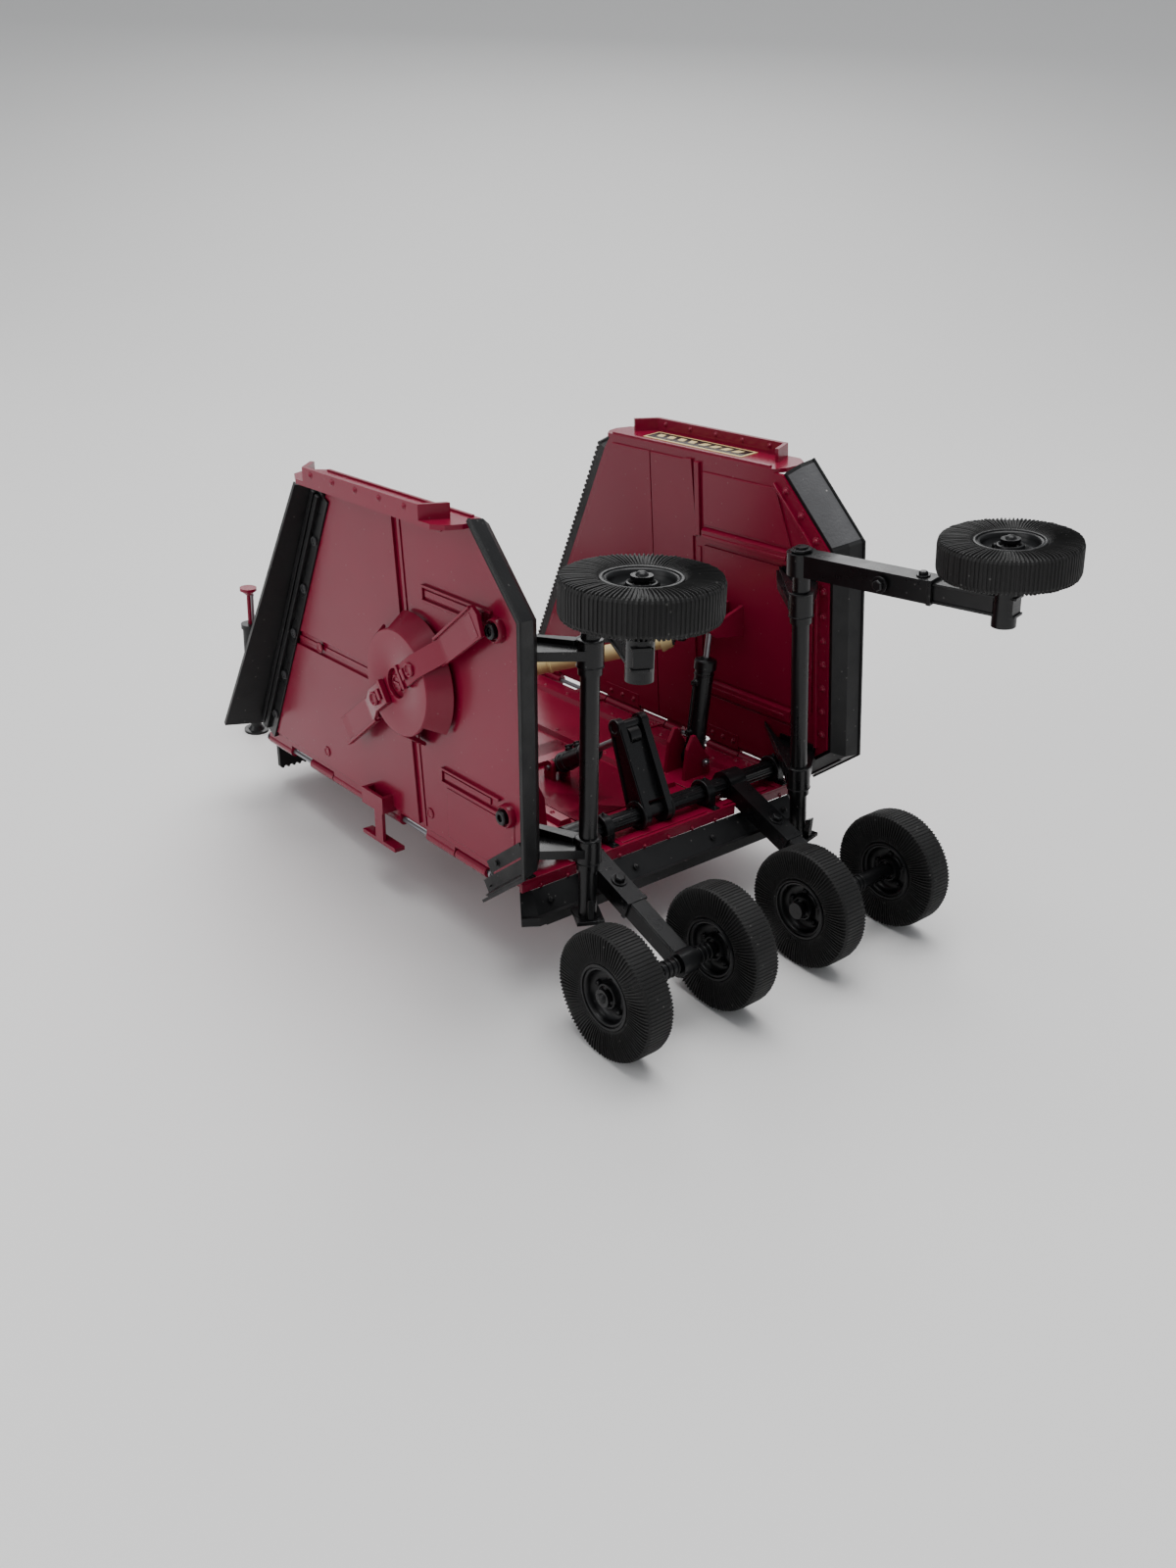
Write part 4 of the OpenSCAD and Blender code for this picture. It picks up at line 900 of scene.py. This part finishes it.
def axle_details():
    """Bolts, channel plates and ribbed stubs of the arms, and the fluted shaft."""
    arms = Shape()
    for s in (LEFT, RIGHT):
        x = s * 29.5
        arms.hex_bolt((x, -19.5, 2.45), (0, 0, 1), 1.5)
        arms.box((x - 3.2, -27.6, -2.75), (x + 3.2, -26.4, 2.75))
        for edge in (-2.2, 2.2):
            arms.prism([(-27, -2.35), (-44, -2.35), (-49.6, -1.6), (-50.4, 0.6), (-49.6, 2.3), (-27, 2.3)],
                       x + edge - 0.35, x + edge + 0.35, "x")
        arms.prism([(-27, 1.9), (-46, 1.9), (-46, 2.55), (-27, 2.55)], x - 2.3, x + 2.3, "x")
        for at, out in ((x + 3.0 * s, s), (x - 3.0 * s, -s)):
            for i in range(4):
                arms.lathe([(2.1, 0), (2.45, 0.15), (2.45, 0.65), (2.1, 0.8)],
                           (at + out * 1.5 * i, -47.4, 0), (out, 0, 0), 28)
    arms.place("arm_fittings", "centre_axle", CENTRE_ARMS, "black_plastic", bevel=0.1)
    shaft = Shape()
    spans = ((4.6, 17.3), (20.7, 25.6), (33.4, 45.8), (-17.3, -7.4), (-25.6, -20.7), (-45.8, -33.4))
    for start, end in spans:
        for i in range(9):
            angle = math.tau * i / 9
            y, z = 2.08 * math.cos(angle), 2.08 * math.sin(angle)
            shaft.rod((start, y, z), (end, y, z), 0.42, 8)
    shaft.place("shaft_flutes", "centre_axle", CENTRE_ARMS, "black_plastic", bevel=0)


def mast_details():
    """Raised rims and eyes on the lever mast's two plates, and its pins."""
    placed = local_frame(joint_at("centre_lift"), X_AXIS, DECK_U, DECK_W)
    shape = Shape()
    top = Vector((10.1, 22.8))
    along = top.normalized()
    square = Vector((-along.y, along.x))
    for x, out in ((-6.5, -1), (3.5, 1)):
        low, high = sorted((x - 0.05 * out, x + 0.4 * out))
        for edge, end in ((1, 2.2), (-1, 2.2)):
            start = square * 3.75 * edge + along * 0.8
            tip = top + square * end * edge - along * 0.2
            inner_start = square * 2.9 * edge + along * 0.8
            inner_tip = top + square * (end - 0.8) * edge - along * 0.2
            shape.prism([tuple(start), tuple(tip), tuple(inner_tip), tuple(inner_start)], low, high, "x")
        shape.lathe([(4.1, -0.2), (4.25, 0), (4.25, 0.5), (3.9, 0.75), (3.0, 0.75), (2.7, 0.3), (2.0, 0.3)],
                    (x, 0, 0), (out, 0, 0), 40)
        shape.lathe([(2.45, -0.2), (2.45, 0.4), (2.2, 0.6), (1.6, 0.6), (1.3, 0.2), (0, 0.2)],
                    (x, top.x, top.y), (out, 0, 0), 28)
    web = [tuple(along * 4.6 + square * 1.5), tuple(along * 20.5 + square * 1.2),
           tuple(along * 20.5 - square * 1.0), tuple(along * 4.6 - square * 1.4)]
    shape.prism([web[0], web[1], (web[1][0] + 0.5, web[1][1] - 0.6), (web[0][0] + 0.5, web[0][1] - 0.6)],
                -5.6, 2.6, "x")
    shape.rod((-6.0, top.x, top.y), (3.0, top.x, top.y), 1.5, 24)
    shape.place("mast_rims", "centre_axle", placed, "black_plastic", bevel=0.1)


# ---------- tongue ----------

def tongue_details():
    """Gusset plates, bolts and the hose holder on the tongue, and the jack's fittings."""
    low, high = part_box("tongue_frame")
    jack_low, jack_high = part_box("jack_tube")
    jack = (jack_low + jack_high) / 2 / MM
    rows = local_frame(Vector((0, 0, 0)), X_AXIS, Vector((0, 1, 0)), Vector((0, 0, 1)))
    shape = Shape()
    shape.prism([(-6.2, -26), (6.2, -26), (3.0, -6.5), (-3.0, -6.5)], 2.05, 2.75)
    shape.prism([(-6.2, -26), (6.2, -26), (3.0, -6.5), (-3.0, -6.5)], -2.75, -2.05)
    for x in (-3.0, 3.0):
        for y in (-23, -16):
            shape.hex_bolt((x * (1 if y < -20 else 0.6), y, 2.7), (0, 0, 1), 0.8)
    half_w = high.x / MM
    for s in (LEFT, RIGHT):
        shape.box((min(s * 19, s * 24), -70.5, 2.0), (max(s * 19, s * 24), -61.5, 2.6))
        for y in (-68, -64):
            shape.hex_bolt((s * 21.5, y, 2.55), (0, 0, 1), 0.7)
        shape.hex_bolt((s * (half_w - 0.05), low.y / MM + 2.3, 0), (s, 0, 0), 0.9)
    shape.box((-15, -67.5, 2.0), (15, -64.5, 2.5))
    shape.place("tongue_plates", "tongue", rows, "red_paint", bevel=0.12)
    posts = Shape()
    posts.path_tube([(-2, -40, 1), (-2, -40.4, 9), (-1.2, -41, 14), (1.4, -41, 15.4), (2.6, -41, 12.6)], 0.6)
    posts.box((-3.4, -43, -0.6), (3.4, -38, 0.9))
    for z in (jack.z + 5.5, jack.z - 9):
        posts.lathe([(2.55, 0), (2.9, 0.2), (2.9, 1.0), (2.55, 1.2)], (jack.x, jack.y, z), (0, 0, 1), 32)
    posts.hex_bolt((jack.x, jack.y - 3.5, 0), (0, -1, 0), 0.8)
    posts.place("tongue_fittings", "tongue", rows, "black_plastic", bevel=0.1)
    screw_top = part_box("jack_screw")[1].z / MM
    sleeve = Shape()
    sleeve.lathe([(0.7, 0), (0.82, 0.1), (0.82, 10.4), (0.95, 10.6), (0.95, 11.2), (0.7, 11.3)],
                 (jack.x, jack.y, screw_top - 13.6), (0, 0, 1), 24)
    sleeve.place("jack_screw_sleeve", "jack_screw_body", rows, "bright_steel", bevel=0)


def make_wings():
    for side in SIDES:
        placed = wing_frame(side)
        underside(side, placed)
        top_side(side, placed)
        hinge_leaves(side, placed)
        skirt_details(side, placed)
        front_guard_details(side, placed)
        rear_deflector_details(side, placed)
        pan = placed @ Matrix.Translation((*PAN_AT, 0))
        pan_and_blades(side, f"{side}_pan", pan, WING_BLADE_ANGLE)
        shaft_details(side, placed, wing_arm_frame(side))
        gearbox_details(side, placed)
    painted_highlight_strip(wing_frame("right"))
    pan = DECK @ Matrix.Translation((*CENTRE_PAN_AT, 0))
    pan_and_blades("centre", "centre_pan", pan, CENTRE_BLADE_ANGLE)


def make_deck():
    deck_top()
    deck_underside()
    bearing_bolts()
    rear_deflector_rivets()
    divider_gearbox()
    deck_silver()


# ---------- stage ----------

def make_stage():
    """A pale floor that sweeps up into a backdrop, with painted shade that darkens it with distance."""
    mesh = bpy.data.meshes.new("floor")
    grid = bmesh.new()
    near, far, half, sweep = -2.2, 0.5, 5.0, 3.0
    outline = [(near, 0.0), (far, 0.0)]
    outline += [(far + sweep * math.sin(math.radians(a)), sweep * (1 - math.cos(math.radians(a))))
                for a in range(3, 91, 3)]
    yaw = Matrix.Rotation(-math.radians(CAMERA_YAW), 4, "Z")
    rows = [[grid.verts.new(yaw @ Vector((x, y, z)) + Vector((0, 0, FLOOR_Z))) for x in (-half, half)]
            for y, z in outline]
    for (a, b), (c, d) in zip(rows, rows[1:]):
        grid.faces.new((a, b, d, c))
    grid.to_mesh(mesh)
    grid.free()
    mesh.shade_smooth()
    floor = bpy.data.objects.new("floor", mesh)
    bpy.context.scene.collection.objects.link(floor)
    material = bpy.data.materials.new("floor_paper")
    material.use_nodes = True
    nodes, links = material.node_tree.nodes, material.node_tree.links
    shader = nodes["Principled BSDF"]
    shader.inputs["Roughness"].default_value = 0.55
    noise = nodes.new("ShaderNodeTexNoise")
    noise.inputs["Scale"].default_value = 3
    links.new(nodes.new("ShaderNodeTexCoord").outputs["Object"], noise.inputs["Vector"])
    ramp = nodes.new("ShaderNodeValToRGB")
    ramp.color_ramp.elements[0].color = (0.76, 0.75, 0.74, 1)
    ramp.color_ramp.elements[1].color = (0.79, 0.78, 0.77, 1)
    links.new(noise.outputs["Fac"], ramp.inputs["Fac"])
    # painted shade: the colour is mixed towards grey with distance, standing in for the light's falloff
    place = nodes.new("ShaderNodeSeparateXYZ")
    links.new(nodes.new("ShaderNodeTexCoord").outputs["Object"], place.inputs["Vector"])
    painted_falloff = nodes.new("ShaderNodeMapRange")
    painted_falloff.inputs["From Min"].default_value = -0.1
    painted_falloff.inputs["From Max"].default_value = 1.6
    painted_falloff.inputs["To Max"].default_value = 0.42
    links.new(place.outputs["Y"], painted_falloff.inputs["Value"])
    shade = nodes.new("ShaderNodeMix")
    shade.data_type = "RGBA"
    shade.inputs["B"].default_value = (0.4, 0.4, 0.392, 1)
    links.new(painted_falloff.outputs["Result"], shade.inputs["Factor"])
    links.new(ramp.outputs["Color"], shade.inputs["A"])
    links.new(shade.outputs["Result"], shader.inputs["Base Color"])
    mesh.materials.append(material)


CAMERA_AT = Vector((-0.23717, -0.45948, 0.18984))
CAMERA_YAW = 41.11
CAMERA_PITCH = 27.17
CAMERA_ROLL = 3.52
CAMERA_LENS = 31.5


def make_camera():
    yaw, pitch, roll = (math.radians(a) for a in (CAMERA_YAW, CAMERA_PITCH, CAMERA_ROLL))
    ahead = Vector((math.sin(yaw) * math.cos(pitch), math.cos(yaw) * math.cos(pitch), -math.sin(pitch)))
    right = Vector((math.cos(yaw), -math.sin(yaw), 0))
    up = right.cross(ahead)
    x = right * math.cos(roll) + up * math.sin(roll)
    y = up * math.cos(roll) - right * math.sin(roll)
    camera = bpy.data.objects.new("camera", bpy.data.cameras.new("camera"))
    camera.matrix_world = Matrix.Translation(CAMERA_AT) @ Matrix((x, y, -ahead)).transposed().to_4x4()
    camera.data.lens = CAMERA_LENS
    camera.data.sensor_width = 36
    camera.data.clip_start = 0.01
    bpy.context.scene.collection.objects.link(camera)
    bpy.context.scene.camera = camera


def area_light(name, at, target, size, power):
    light = bpy.data.objects.new(name, bpy.data.lights.new(name, "AREA"))
    light.data.shape = "RECTANGLE"
    light.data.size, light.data.size_y = size
    light.data.energy = power
    light.location = at
    light.rotation_mode = "QUATERNION"
    light.rotation_quaternion = (Vector(target) - Vector(at)).to_track_quat("-Z", "Y")
    bpy.context.scene.collection.objects.link(light)


def make_lights():
    middle = (0, -0.2, 0.03)
    area_light("key_above", (0.1, -0.1, 1.5), middle, (1.3, 1.3), 26)
    area_light("fill_left", (-1.5, 0.1, 0.7), middle, (1.2, 0.9), 7)
    area_light("rim_back", (0.9, 1.0, 0.9), middle, (1.0, 0.7), 7)
    world = bpy.data.worlds.new("studio")
    bpy.context.scene.world = world
    world.use_nodes = True
    world.node_tree.nodes["Background"].inputs["Color"].default_value = (0.93, 0.96, 1, 1)
    world.node_tree.nodes["Background"].inputs["Strength"].default_value = 0.5


make_camera()
make_lights()
make_stage()
make_materials()
dress_cad_nodes()
make_wheels()
make_wings()
make_deck()
axle_details()
mast_details()
make_cylinders()
make_drivelines()
tongue_details()
